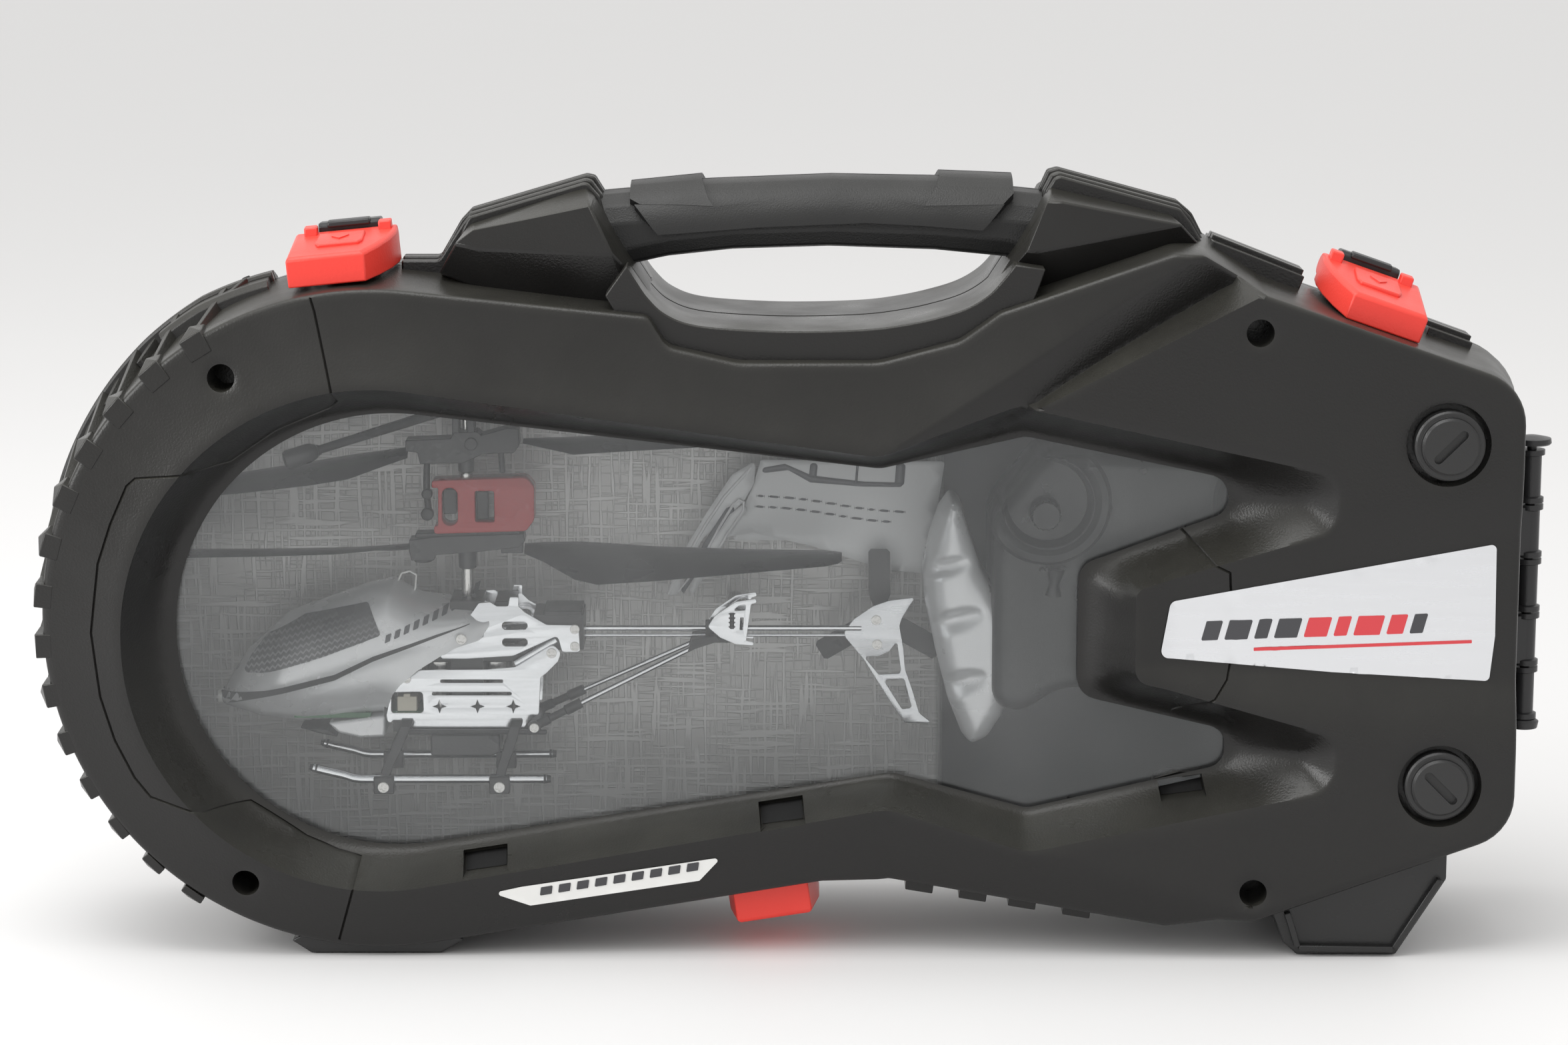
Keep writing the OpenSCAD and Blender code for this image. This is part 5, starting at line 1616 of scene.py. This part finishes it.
k = Kit()
k.prism([(-121.4, 122.0), (-112, 123.2), (-85.6, 124.0), (-85.2, 121.8), (-87.3, 119.6), (-100.9, 118.2),
         (-112.9, 117.3),
         (-113.8, 115.5), (-120.8, 115.5), (-121.5, 118.6)], HY - 4, HY + 4)
k.lathe((-117.4, HY, 114.4), (0, 0, 1), [(0, 2.2), (0.2, 2.9), (1.2, 3.0), (1.3, 0.4)], 20)
k.lathe((MAST, HY, 112.4), (0, 0, 1), [(0, 2.4), (0.3, 2.8), (6, 3.0), (6.1, 0.4)], 24)
for x in (-117.6, -89.4):
    k.box(x - 3.4, x + 3.4, HY - 2.6, HY + 2.6, 117.6, 120.6)
hub = bake(bevel(k.object("low_hub", M_BLADE, 30), 0.4))
# clip plate on top of the lower hub
k = Kit()
k.prism(rounded([(-119.6, 122.6, 0.4), (-119.4, 124.0, 0.4), (-86.8, 125.0, 0.4), (-86.8, 123.8, 0.4)],
                0.6), HY - 3.1, HY + 3.1)
clip = bake(bevel(k.object("clip", M_BLACK, 30), 0.25))
done(join("low_hub_parts", [hub, clip]), "lower_rotor", "lower_hub")
cage = plate("cage", rounded([(-114.1, 138.6, 0.6), (-114.1, 141, 1), (-84.6, 142, 2.8), (-82.1, 139, 2.2),
                              (-82.2, 128.4, 3),
                              (-84.8, 124.9, 2.2), (-113.6, 124, 1), (-113.5, 126.4, 0.6),
                              (-112.3, 126.8, 0.5),
                              (-112.1, 138.6, 0.5)], 0.9),
             [stadium(-110.9, -106.1, 126.8, 138.6), rounded([(-100.6, 127.9, 0.6), (-100.6, 137.6, 0.6),
                 (-94.7, 137.6, 0.6),
                                                              (-94.7, 127.9, 0.6)], 0.8)], HY - 4.4,
                                                              HY + 4.4, M_CAGE, 0.5)
done(cage, "lower_rotor", "rotor_cage")
k = Kit()
k.box(-100.2, -96.6, HY - 2.4, HY + 2.4, 128.4, 137.2)
k.box(-110.6, -106.6, HY - 2.2, HY + 2.2, 130.0, 138.0)
k.tube([(-115.6, HY - 2.0, 146.2), (-115.8, HY - 2.6, 137.5), (-115.2, HY - 2.6, 130.4)], [1.0, 1.1, 1.0],
       12)
k.lathe((-115.6, HY - 4.4, 130.2), (0, 1, 0), [(0, 1.4), (0.3, 2.0), (3.0, 2.0), (3.3, 1.4)], 20)
k.lathe((-115.6, HY - 4.4, 136.6), (0, 1, 0), [(0, 1.2), (0.3, 1.7), (3.0, 1.7), (3.3, 1.2)], 20)
links = bake(bevel(k.object("links", M_BLACK, 30), 0.3))
done(links, "lower_rotor")

k = Kit()
k.prism([(-122.1, 150.2), (-122.0, 153.6), (-108, 154.2), (-106.8, 156.2), (-99.6, 156.4), (-98.4, 155.2),
         (-90, 157.6),
         (-86.8, 157.2), (-86.6, 152.0), (-88.4, 149.6), (-98, 149.4), (-104, 146.4), (-117.6, 146.2),
         (-118.4, 149.8)],
        HY - 4, HY + 4)
k.lathe((-101.6, HY - 5.0, 152.6), (0, 1, 0), [(0, 1.1), (0.01, 2.0), (10, 2.0), (10.01, 1.1)], 24)
k.lathe((MAST, HY, 142.9), (0, 0, 1), [(0, 1.5), (0.3, 2.5), (5, 2.6), (5.1, 1.4)], 24)
for s in (-1, 1):
    k.box(-107.4, -105.3, HY + s * 3.0 - 0.9, HY + s * 3.0 + 0.9, 155, 173.6)
    k.box(-102.6, -100.5, HY + s * 3.0 - 0.9, HY + s * 3.0 + 0.9, 155, 173.6)
k.box(-107.4, -100.5, HY - 3.9, HY + 3.9, 167.6, 170.4)
k.tube([(-92.4, HY - 2.6, 149.8), (-92.0, HY - 2.8, 143.2)], 1.0, 12)
hub = bevel(k.object("up_hub", M_BLADE, 30), 0.4)
done(hub, "upper_rotor", "upper_hub")

# flybar: flattened arms with round-ended weights, tilted on its pivot
ct, st = math.cos(math.radians(14.5)), math.sin(math.radians(14.5))
cu_, su_ = math.cos(math.radians(18)), math.sin(math.radians(18))


def bar_place(p):
    x, y, z = p[0] * ct - p[2] * st, p[1], p[0] * st + p[2] * ct
    return (MAST + x * cu_ - y * su_, HY + x * su_ + y * cu_, 164.5 + z)


k = Kit()
for s in (-1, 1):
    k.tube([(s * 2.2, 0, 0), (s * 6, 0, 0), (s * 9, 0, 0), (s * 47.5, 0, 0), (s * 48.5, 0, 0)],
           [0.8, 0.8, 1.7, 1.35, 1.9], 14)
k.lathe((0, 0, -1.4), (0, 0, 1), [(0, 2.0), (0.3, 2.5), (2.5, 2.5), (2.8, 2.0)], 24)
k.tube([(0, -2.6, 0), (0, 2.6, 0)], 0.9, 12)
k.move(0, bar_place)
done(k.object("balance_arms", M_BLADE, 35), "balance_bar", "flybar")
k = Kit()
for s in (-1, 1):
    o = len(k.v)
    k.lathe((s * 48.4, 0, 0), (s, 0, 0), [(0, 1.3), (0.6, 2.2), (2.2, 2.9), (4, 3.05), (9.6, 3.05),
                                          (10.7, 2.6), (10.95, 1.6)], 28)
    for i in range(o, len(k.v)):
        x, y, z = k.v[i]
        k.v[i] = (x, y * 0.82, z)
k.move(0, bar_place)
done(k.object("balance_weights", M_BLADE, 35), "balance_bar", "flybar_weights")

# ---------------------------------------------------------------- helicopter: tail
k = Kit()
a, b = np.array((-82.4, HY - 11.4, 64.2)), np.array((-67.8, HY - 9.3, 71.2))
d = unit(b - a)
k.tube([a, a + d * 5, a + d * 5.4, a + d * 10.6, a + d * 11, b], [1.5, 1.6, 1.2, 1.2, 1.7, 1.6], 14)
k.lathe((-82.4, HY - 13.2, 64.0), (0, 1, 0), [(0, 1.4), (0.3, 2.1), (2.9, 2.1), (3.2, 1.5)], 20)
k.hull([(x, y, z) for x, z in ((-34.4, 87.0), (-33.2, 90.6), (-25.6, 91.8),
                               (-24.6, 90.2)) for y in (HY - 6.2, HY - 2.0)])
sleeves = k.object("sleeves", M_BLACK, 35)
done(both("strut_ends", sleeves), "case_rear")
tri = plate("tri", rounded([(-28.2, 94.6, 1), (-25.9, 98.2, 3), (-19.5, 102.6, 3), (-13.2, 103.6, 0.5),
                            (-12.8, 102.4, 0.5),
                            (-14.6, 101.8, 0.4), (-16.2, 90.2, 0.4), (-13.9, 89.7, 0.4),
                            (-13.9, 88.6, 0.4), (-19.5, 89, 3),
                            (-24.4, 91.2, 2)], 1.0),
            [rounded([(-20.6, 99.6, 0.4), (-18.4, 101.4, 0.8), (-16.2, 101.8, 0.5), (-16.4, 99.9, 0.4)],
                     0.6),
             rounded([(-18.2, 93.6, 0.3), (-18.0, 97.6, 0.3), (-16.9, 97.6, 0.3), (-17.2, 93.6, 0.3)],
                     0.6)],
            HY - 5.4, HY - 4.6, M_POLISH, 0.12)
k = Kit()
k.box(-29.0, -17.4, HY - 1.35, HY + 1.35, 88.6, 95.6)
k.tube([(-20.6, HY - 5.2, 94.0), (-20.6, HY - 5.2, 99.2)], 0.75, 12)
for z in (94.4, 95.8, 97.2, 98.6):
    k.tube([(-20.6, HY - 5.2, z), (-20.6, HY - 5.2, z + 0.5)], 1.1, 12)
k.tube([(-22, HY - 5, 99.2), (-22, HY + 5, 99.2)], 0.7, 12)
k.tube([(-19, HY - 5, 90.6), (-19, HY + 5, 90.6)], 0.7, 12)
centre = bake(bevel(k.object("centre", M_BLACK, 35), 0.2))
done(join("boom_bracket_cut", [both("tris", tri), centre]), "case_rear", "boom_bracket")
fin = plate("fin", rounded([(14.6, 91.8, 1.5), (17.5, 95.9, 5), (23.5, 100.1, 8), (28.7, 102.0, 5),
                            (37.0, 103.0, 0.5),
                            (35.2, 100.5, 4), (32.8, 96.4, 5), (32, 93.9, 3), (33.3, 86.5, 6),
                            (33.9, 79.8, 6), (36.2, 73.2, 6),
                            (38.4, 65.7, 3), (41.9, 62.9, 0.4), (41.1, 62.3, 0.4), (33.8, 62.5, 1.5),
                            (28.9, 69.9, 4),
                            (20.8, 83.1, 6), (15.1, 90.0, 2)], 1.2),
            [rounded([(20.9, 84, 0.6), (25.6, 84.1, 1.5), (28.8, 85.6, 2), (31.2, 88.9, 0.5),
                      (32.5, 79.8, 0.8),
                      (32.2, 78.5, 0.8), (25.6, 78.2, 0.8)][::-1], 0.8),
             rounded([(27.1, 76.5, 0.8), (33.6, 76.7, 0.8), (36.0, 67.4, 0.8), (33, 67, 0.8)][::-1], 0.8)],
            HY - 0.6, HY + 0.6, M_FIN, 0.18)
k = Kit()
screw(k, 24.7, HY - 0.6, 95.8, 1.6, 22)
screw(k, 25.0, HY - 0.6, 87.9, 1.6, 40)
done(join("tail_plate", [fin, k.object("s", M_STEEL, 30)]), "case_rear", "tail_fin")
k = Kit()
k.lathe((26, HY + 8.9, 94.3), (0, 1, 0), [(0, 2.2), (0.2, 2.6), (3.4, 2.6), (3.9, 1.8)], 24)
k.lathe((26, HY + 4.4, 94.3), (0, 1, 0), [(0, 0.5), (5, 0.5)], 12)
for a in (90, 210, 330):
    o = len(k.v)
    rings = []
    for r, w0, w1, tw in ((1.6, -1.2, 1.2, 30), (5, -2.4, 2.6, 24), (7.5, -3.4, 3.5, 20),
                          (21.0, -3.2, 3.6, 12), (22.0, -2.2, 2.8, 12)):
        t = math.tan(math.radians(tw)) * 0.5
        rings.append([(r, HY + 10.9 + w * t + h, w) for w, h in ((w0, -0.3), (w1, -0.3), (w1, 0.3),
            (w0, 0.3))])
    k.loft(rings)
    c, s = math.cos(math.radians(a)), math.sin(math.radians(a))
    for i in range(o, len(k.v)):
        x, y, z = k.v[i]
        k.v[i] = (26 + x * c - z * s, y, 94.3 + x * s + z * c)
done(k.object("tail_prop_three", M_BLADE, 35), "tail_prop", "tail_rotor")

# ---------------------------------------------------------------- handset
HSX = 112.0
GY = 4.0
SHAPE = [(-52, 64, 8), (-52, 132, 10), (-36, 152, 12), (36, 152, 12), (52, 132, 10), (52, 64, 8),
         (30, 78, 14), (-30, 78, 14)]
SHAPE = [(x + HSX, z, r) for x, z, r in SHAPE]
L_HS = dense(rounded(SHAPE, 2.2), 2.4)
WELLS = [(HSX - 35.2, 137.4), (HSX + 35.2, 137.4)]
CONTOUR = [(60.8, 116, 10), (60.8, 146, 12), (72, 150.4, 8), (96, 150.4, 10), (98, 122, 12), (88, 114, 14)]


def hand_depth(p):
    s = np.clip(seg_distance(p, L_HS), 0, 5.0)
    d = 5.0 - np.sqrt(np.maximum(0, 25 - (5 - s) ** 2))
    for x, z in WELLS:
        q = np.hypot(p[:, 0] - x, p[:, 1] - z)
        d -= 2.0 * np.clip((19.7 - q) / 1.2, 0, 1)
        d += 1.0 * np.exp(-((q - 16.6) / 1.5) ** 2)
        d += 5.0 * np.clip((13.9 - q) / 1.6, 0, 1)
        d -= 0.5 * np.exp(-((q - 14.4) / 0.5) ** 2)
    q = p.copy()
    q[:, 0] = HSX - np.abs(p[:, 0] - HSX)
    for lp in HAND_LINES:
        g = seg_distance(q, lp)
        d += 0.5 * np.clip(1 - g / 0.5, 0, 1)
    e = np.maximum(np.abs(p[:, 0] - HSX) - 4.6, np.abs(p[:, 1] - 98) - 7.0)
    d += 0.6 * np.clip(1 - np.abs(e) / 0.5, 0, 1)
    return d


HAND_LINES = [dense(rounded(CONTOUR, 2.0), 2.0), dense(rounded(inset(CONTOUR, 2.2), 2.0), 2.0),
              dense(rounded([(71.6, 101, 2), (71.6, 114.4, 3), (83.6, 114.4, 2), (83.6, 101, 2)], 1.0),
                    2.0)]
loops = [dense(rounded(inset(SHAPE, g), 2.0), 2.4) for g in (0.7, 1.8, 3.4, 5.0)]
for x, z in WELLS:
    loops += [circle(x, z, r, 72) for r in (19.7, 18.5, 16.6, 15.3, 14.4, 13.9, 12.3)]
v2, f = triangulate([L_HS] + loops, [], 2.4, L_HS, None, 0.7)
d = hand_depth(v2)
verts = [(p[0], GY - 18 + q, p[1]) for p, q in zip(v2, d)]
faces = [list(t) for t in f]
edge = boundary_loops(f)[0]
o = len(verts)
verts += [(v2[i][0], GY + 24, v2[i][1]) for i in edge]
faces += [[edge[i], edge[(i + 1) % len(edge)], o + (i + 1) % len(edge), o + i] for i in range(len(edge))]
faces.append([o + i for i in range(len(edge))][::-1])
hand = mesh_object("hand_unit", verts, faces, M_HANDSET, 30)
k = Kit()
k.tube([(79.6, GY - 18.4, 116.8), (79.0, GY - 18.2, 112.0), (78.8, GY - 17.6, 108.4)], [3.0, 1.6, 2.6], 14)
for i in range(5):
    k.lathe((75.2 + i * 1.7, GY - 18.2, 116.2 + 0.4 * math.sin(i * 2.0)), (0, -1, 0),
            [(0, 0.9), (1.2, 0.7), (1.3, 0.2)], 10)
lever = k.object("lever", M_BLACK, 35)
done(join("hand_unit_body", [hand, lever]), "case_rear", "handset_body", "handset_back")

GRIP = [(47.6, 137.3, 1.5), (50.5, 134.7, 1.5), (53.6, 124.6, 8), (57.4, 113.4, 10), (66, 100.6, 3),
        (66.6, 85.4, 6),
        (66.2, 76.3, 6), (63.7, 67.9, 6), (59.3, 61.1, 5), (54.1, 58.6, 2.5), (51.1, 62.6, 6),
        (46.6, 74, 14), (42.8, 89.2, 16),
        (39.7, 103.6, 14), (38.9, 112.6, 14), (41.1, 123.1, 12), (44, 132.1, 5)]
L_GRIP = dense(rounded(GRIP, 1.6), 1.8)
DENTS = [(45.6, 115.6, 8.6, 3.2), (48.6, 98.6, 10.2, 4.0), (50.4, 78.9, 9.4, 4.2)]


def grip_depth(p):
    s = np.clip(seg_distance(p, L_GRIP), 0, 7.0)
    d = 7.0 - np.sqrt(np.maximum(0, 49 - (7 - s) ** 2))
    d = d * 0.92 + 2.6 * np.clip((52 - p[:, 0]) / 12, 0, 1) ** 2
    for x, z, a, b in DENTS:
        c, sn = math.cos(math.radians(17)), math.sin(math.radians(17))
        u = (p[:, 0] - x) * c + (p[:, 1] - z) * sn
        w = -(p[:, 0] - x) * sn + (p[:, 1] - z) * c
        q = np.sqrt((u / a) ** 2 + (w / b) ** 2)
        d += 3.0 * np.clip(1 - q, 0, 1) ** 0.75 * (1 + 0.35 * np.clip(w / b, -1, 1))
    return d


loops = [dense(rounded(inset(GRIP, g), 1.6), 1.8) for g in (0.4, 1.1, 2.2, 4.0)]
v2, f = triangulate([L_GRIP] + loops, [], 1.35, L_GRIP, None, 0.5)
d = grip_depth(v2)
n0 = len(v2)
edge = boundary_loops(f)[0]
base = GY - 14
verts = [(p[0], base + q, p[1]) for p, q in zip(v2, d)]
faces = [list(t) for t in f]
back = np.clip(seg_distance(v2, L_GRIP), 0, 6)
verts += [(p[0], GY + 12.8 - (6 - math.sqrt(max(0, 36 - (6 - q) ** 2))) * 0.8, p[1]) for p,
          q in zip(v2, back)]
faces += [[n0 + int(i) for i in t[::-1]] for t in f]
faces += [[edge[(i + 1) % len(edge)], edge[i], n0 + edge[i],
           n0 + edge[(i + 1) % len(edge)]] for i in range(len(edge))]
grip_l = mesh_object("grip_l", verts, faces, M_HANDGRIP, 50)
me = grip_l.data.copy()
for v in me.vertices:
    v.co.x = 2 * HSX * MM - v.co.x
me.flip_normals()
done(join("hand_grips_pair", [grip_l, linked("grip_r", me)]), "case_rear", "handset_grips")


def stick(name, x, body, node):
    k = Kit()
    y = GY - 14
    k.lathe((x, y, 134), (0, -1, 0), [(-5.1, 0.5), (-4.2, 3.0), (-2.0, 4.8), (0, 5.2), (2.0, 4.8),
                                      (3.6, 3.4), (4.4, 2.1), (6.2, 1.9),
                                      (6.3, 3.2), (6.9, 4.2), (8.6, 4.4), (9.3, 4.1), (9.4, 3.2),
                                      (9.1, 2.4), (9.1, 0.3)], 36)
    for i in range(18):
        a = 2 * math.pi * i / 18
        k.lathe((x + 4.25 * math.cos(a), y - 6.9, 134 + 4.25 * math.sin(a)), (0, -1, 0),
                [(0, 0.25), (0.3, 0.42), (1.9, 0.42), (2.2, 0.2)], 6)
    done(k.object(name, M_BLACK, 30), body, node)


stick("thumb_stick_l", HSX - 36, "throttle_stick", "left_stick")
stick("thumb_stick_r", HSX + 36, "direction_stick", "right_stick")

# ---------------------------------------------------------------- leaflet: folded sheets, gently curved
def sheet(name, corners, y_fn, mat, thick=0.35, spacing=5.0):
    lp = dense(rounded(corners), 3.0)
    v, f = triangulate([lp], [], spacing, lp, None)
    y = y_fn(v)
    ob = mesh_object(name, [(p[0], q, p[1]) for p, q in zip(v, y)], [list(t) for t in f], mat, 60)
    thicken(ob, thick, 0.0)
    return ob


def bend(level, amount):
    return lambda p: level - amount * np.sin(np.clip((p[:, 0] + 42) / 88, 0, 1) * math.pi) \
        + 0.4 * np.sin(p[:, 1] * 0.11)


def page(name, corners, level, mat, thick=0.35):
    return sheet(name, [(*c, 1.0) for c in corners], bend(level, 0.9), mat, thick)


sheets = [
    page("page_back", [(-9, 143.2), (-21, 117.5), (0, 117.6), (26, 110.6), (40.4, 108.6), (46.0, 142.6)],
         27.4, M_PAPER),
    page("page_front", [(-11.6, 143.9), (-14.1, 135.3), (-16.6, 129.6), (-25, 118.4), (-14.4, 120.4),
                        (4.6, 116), (12.4, 113.5),
                        (28, 108.3), (41.6, 106.9), (44.6, 129.6), (46.6, 143.2)], 25.8, M_PAPER),
    page("fold_under", [(-13.2, 143.8), (-20.8, 139), (-27.1, 129.4), (-34.4, 117.5), (-41.6, 100.8),
                        (-40.6, 99.8),
                        (-38.2, 100.4), (-35.6, 108.4), (-29.9, 118.7), (-17.3, 130.2), (-13.8, 136)],
                        25.2, M_PAPER),
    page("fold_inner", [(-18.5, 129.8), (-25.5, 119.5), (-31.5, 108), (-36.2, 100.8), (-37.6, 100.4),
                        (-35.6, 105.5),
                        (-29.6, 117.5), (-22.5, 128.4)], 24.9, M_PRINT_GREY),
    page("fold_over", [(-16.6, 130.2), (-16.3, 127.4), (-22.1, 120.6), (-26, 114.3), (-32.8, 100.9),
                       (-34.5, 101.3),
                       (-33.3, 105.2), (-27.7, 116.6), (-21.6, 126.2)], 24.7, M_PAPER),
    page("band", [(-11.5, 141.2), (-4, 142.6), (4.5, 138.8), (21, 136.8), (33.2, 136.4), (33.6, 135.0),
                  (21, 135.2), (4, 136.6),
                  (-3, 140.6), (-10.8, 139.6)], 25.5, M_PRINT_GREY, 0.15)]
for x0, x1, z0, z1 in ((31.2, 34.2, 135.5, 142.6), (4.0, 6.4, 137.5, 142.8), (18.6, 19.4, 136.0, 142.6)):
    sheets.append(page("bar", [(x0, z1), (x1, z1), (x1 - 0.5, z0), (x0 - 0.5, z0)], 25.5, M_PRINT_GREY,
                       0.15))
for row, (x0, x1, drop) in enumerate(((-13, 32, 132.6), (-13.5, 30, 129.2))):
    x = x0
    while x < x1:
        w = 2.4 + 1.6 * ((x * 7.3 + row) % 1.0)
        z = drop - 0.11 * (x - x0) + 0.5 * math.sin((x + 14) * 0.13)
        sheets.append(page("dash", [(x, z), (x + w, z - 0.11 * w), (x + w, z - 0.7 - 0.11 * w),
                                    (x, z - 0.7)], 25.5, M_PRINT_GREY, 0.12))
        x += w + 1.1
k = Kit()
k.tube([(-37.8, 24.6, 101.2), (-30.5, 24.2, 111.6), (-24.6, 24.0, 122.6), (-20.4, 24.0, 129.6),
        (-18.6, 23.8, 131.2), (-17.0, 23.8, 130.4),
        (-17.2, 23.8, 127.6), (-22.6, 23.9, 119.6), (-28.0, 24.1, 109.6), (-33.6, 24.4, 101.0)], 0.42, 8)
k.tube([(-41.2, 25.0, 100.4), (-36.4, 24.6, 110.4), (-29.4, 24.4, 122.6), (-23.2, 24.4, 132.0),
        (-14.6, 24.6, 141.6)], 0.5, 8)
edges = k.object("edges", M_PAPER, 60)
done(join("folded_leaflet", sheets + [edges]), "case_rear", "leaflet")

# ---------------------------------------------------------------- insert behind the contents
TRAY = inset(FACE, 9)
L_TRAY = dense(rounded(TRAY), 4.0)
v2, f = triangulate([L_TRAY], [], 7.0, L_TRAY, None)
ob = mesh_object("insert_sheet", [(p[0], 38.0 + 0.5 * math.sin(p[0] * 0.03) * math.cos(p[1] * 0.04),
                                   p[1]) for p in v2],
                 [list(t) for t in f], M_WEAVE, 40)
thicken(ob, 1.4, 0.0)
k = Kit()
for x, z, r, y in ((-84, 68, 2.4, 19.3), (-122, 68, 2.4, 19.3), (-20, 96, 2.4, 12.3), (88, 98, 5, 28.2),
                   (136, 98, 5, 28.2), (12, 128, 4, 28.2)):
    k.lathe((x, 38.2, z), (0, -1, 0), [(0, r + 1.2), (1.2, r), (38.2 - y - 0.4, r), (38.2 - y, r - 0.4),
                                       (38.2 - y + 0.01, 0.3)], 28)
posts = k.object("posts", M_WEAVE, 35)
done(join("insert_and_posts", [ob, posts]), "case_rear", "tray_insert")

# ---------------------------------------------------------------- finishes of the CAD nodes that stay
FINISH = {
    "latch_pins": M_STEEL, "case_screws": M_STEEL, "chin_light": M_LAMP, "circuit_board": M_BOARD,
    "heli_switch": M_BLACK, "frame_spacers": M_BLACK, "mast_bearings": M_BLACK, "main_motors": M_STEEL,
    "front_pinion": M_BRASS, "rear_pinion": M_BRASS, "outer_shaft": M_STEEL, "lower_gear": M_BLACK,
    "inner_shaft": M_STEEL,
    "upper_gear": M_BLACK, "tail_booms": M_POLISH, "boom_struts": M_POLISH, "tail_motor": M_STEEL,
    "right_gimbal": M_BLACK,
    "handset_switch": M_BLACK, }
for name, mat in FINISH.items():
    ob = bpy.data.objects.get(name)
    if ob is None:
        continue
    for i in range(len(ob.material_slots)):
        ob.material_slots[i].material = mat

# ---------------------------------------------------------------- floor, light, camera
floor_me = bpy.data.meshes.new("floor")
bm = bmesh.new()
bmesh.ops.create_grid(bm, x_segments=2, y_segments=2, size=6.0)
bm.to_mesh(floor_me)
bm.free()
floor = linked("floor", floor_me)
floor.location.z = -0.0002
floor_me.materials.append(material("floor_pale", (0.81, 0.805, 0.80), 0.55, grain=0.02, mottle=0.015,
                                   mottle_scale=3))

world = bpy.data.worlds.new("studio")
bpy.context.scene.world = world
world.use_nodes = True
bg = world.node_tree.nodes["Background"]
bg.inputs["Color"].default_value = (1.0, 0.995, 0.99, 1)
bg.inputs["Strength"].default_value = 0.88
bpy.context.scene.view_settings.view_transform = "Standard"


def area(name, loc, target, size, power):
    lamp = bpy.data.lights.new(name, "AREA")
    lamp.shape = "RECTANGLE"
    lamp.size, lamp.size_y = size
    lamp.energy = power
    ob = linked(name, lamp)
    ob.location = loc
    ob.rotation_euler = (Vector(target) - Vector(loc)).to_track_quat("-Z", "Y").to_euler()


area("key_top", (-0.25, -0.25, 1.4), (0, 0, 0.1), (1.2, 0.8), 9)
area("fill_left", (-1.3, -0.6, 0.7), (0, 0, 0.1), (0.7, 0.9), 11)

cam = bpy.data.cameras.new("camera")
cam.lens = 93.52
cam.sensor_width = 36.0
viewer = linked("camera", cam)
viewer.location = (-0.0043, -1.244, 0.368)
viewer.rotation_euler = (math.radians(90 - 10.9), 0, 0)
bpy.context.scene.camera = viewer
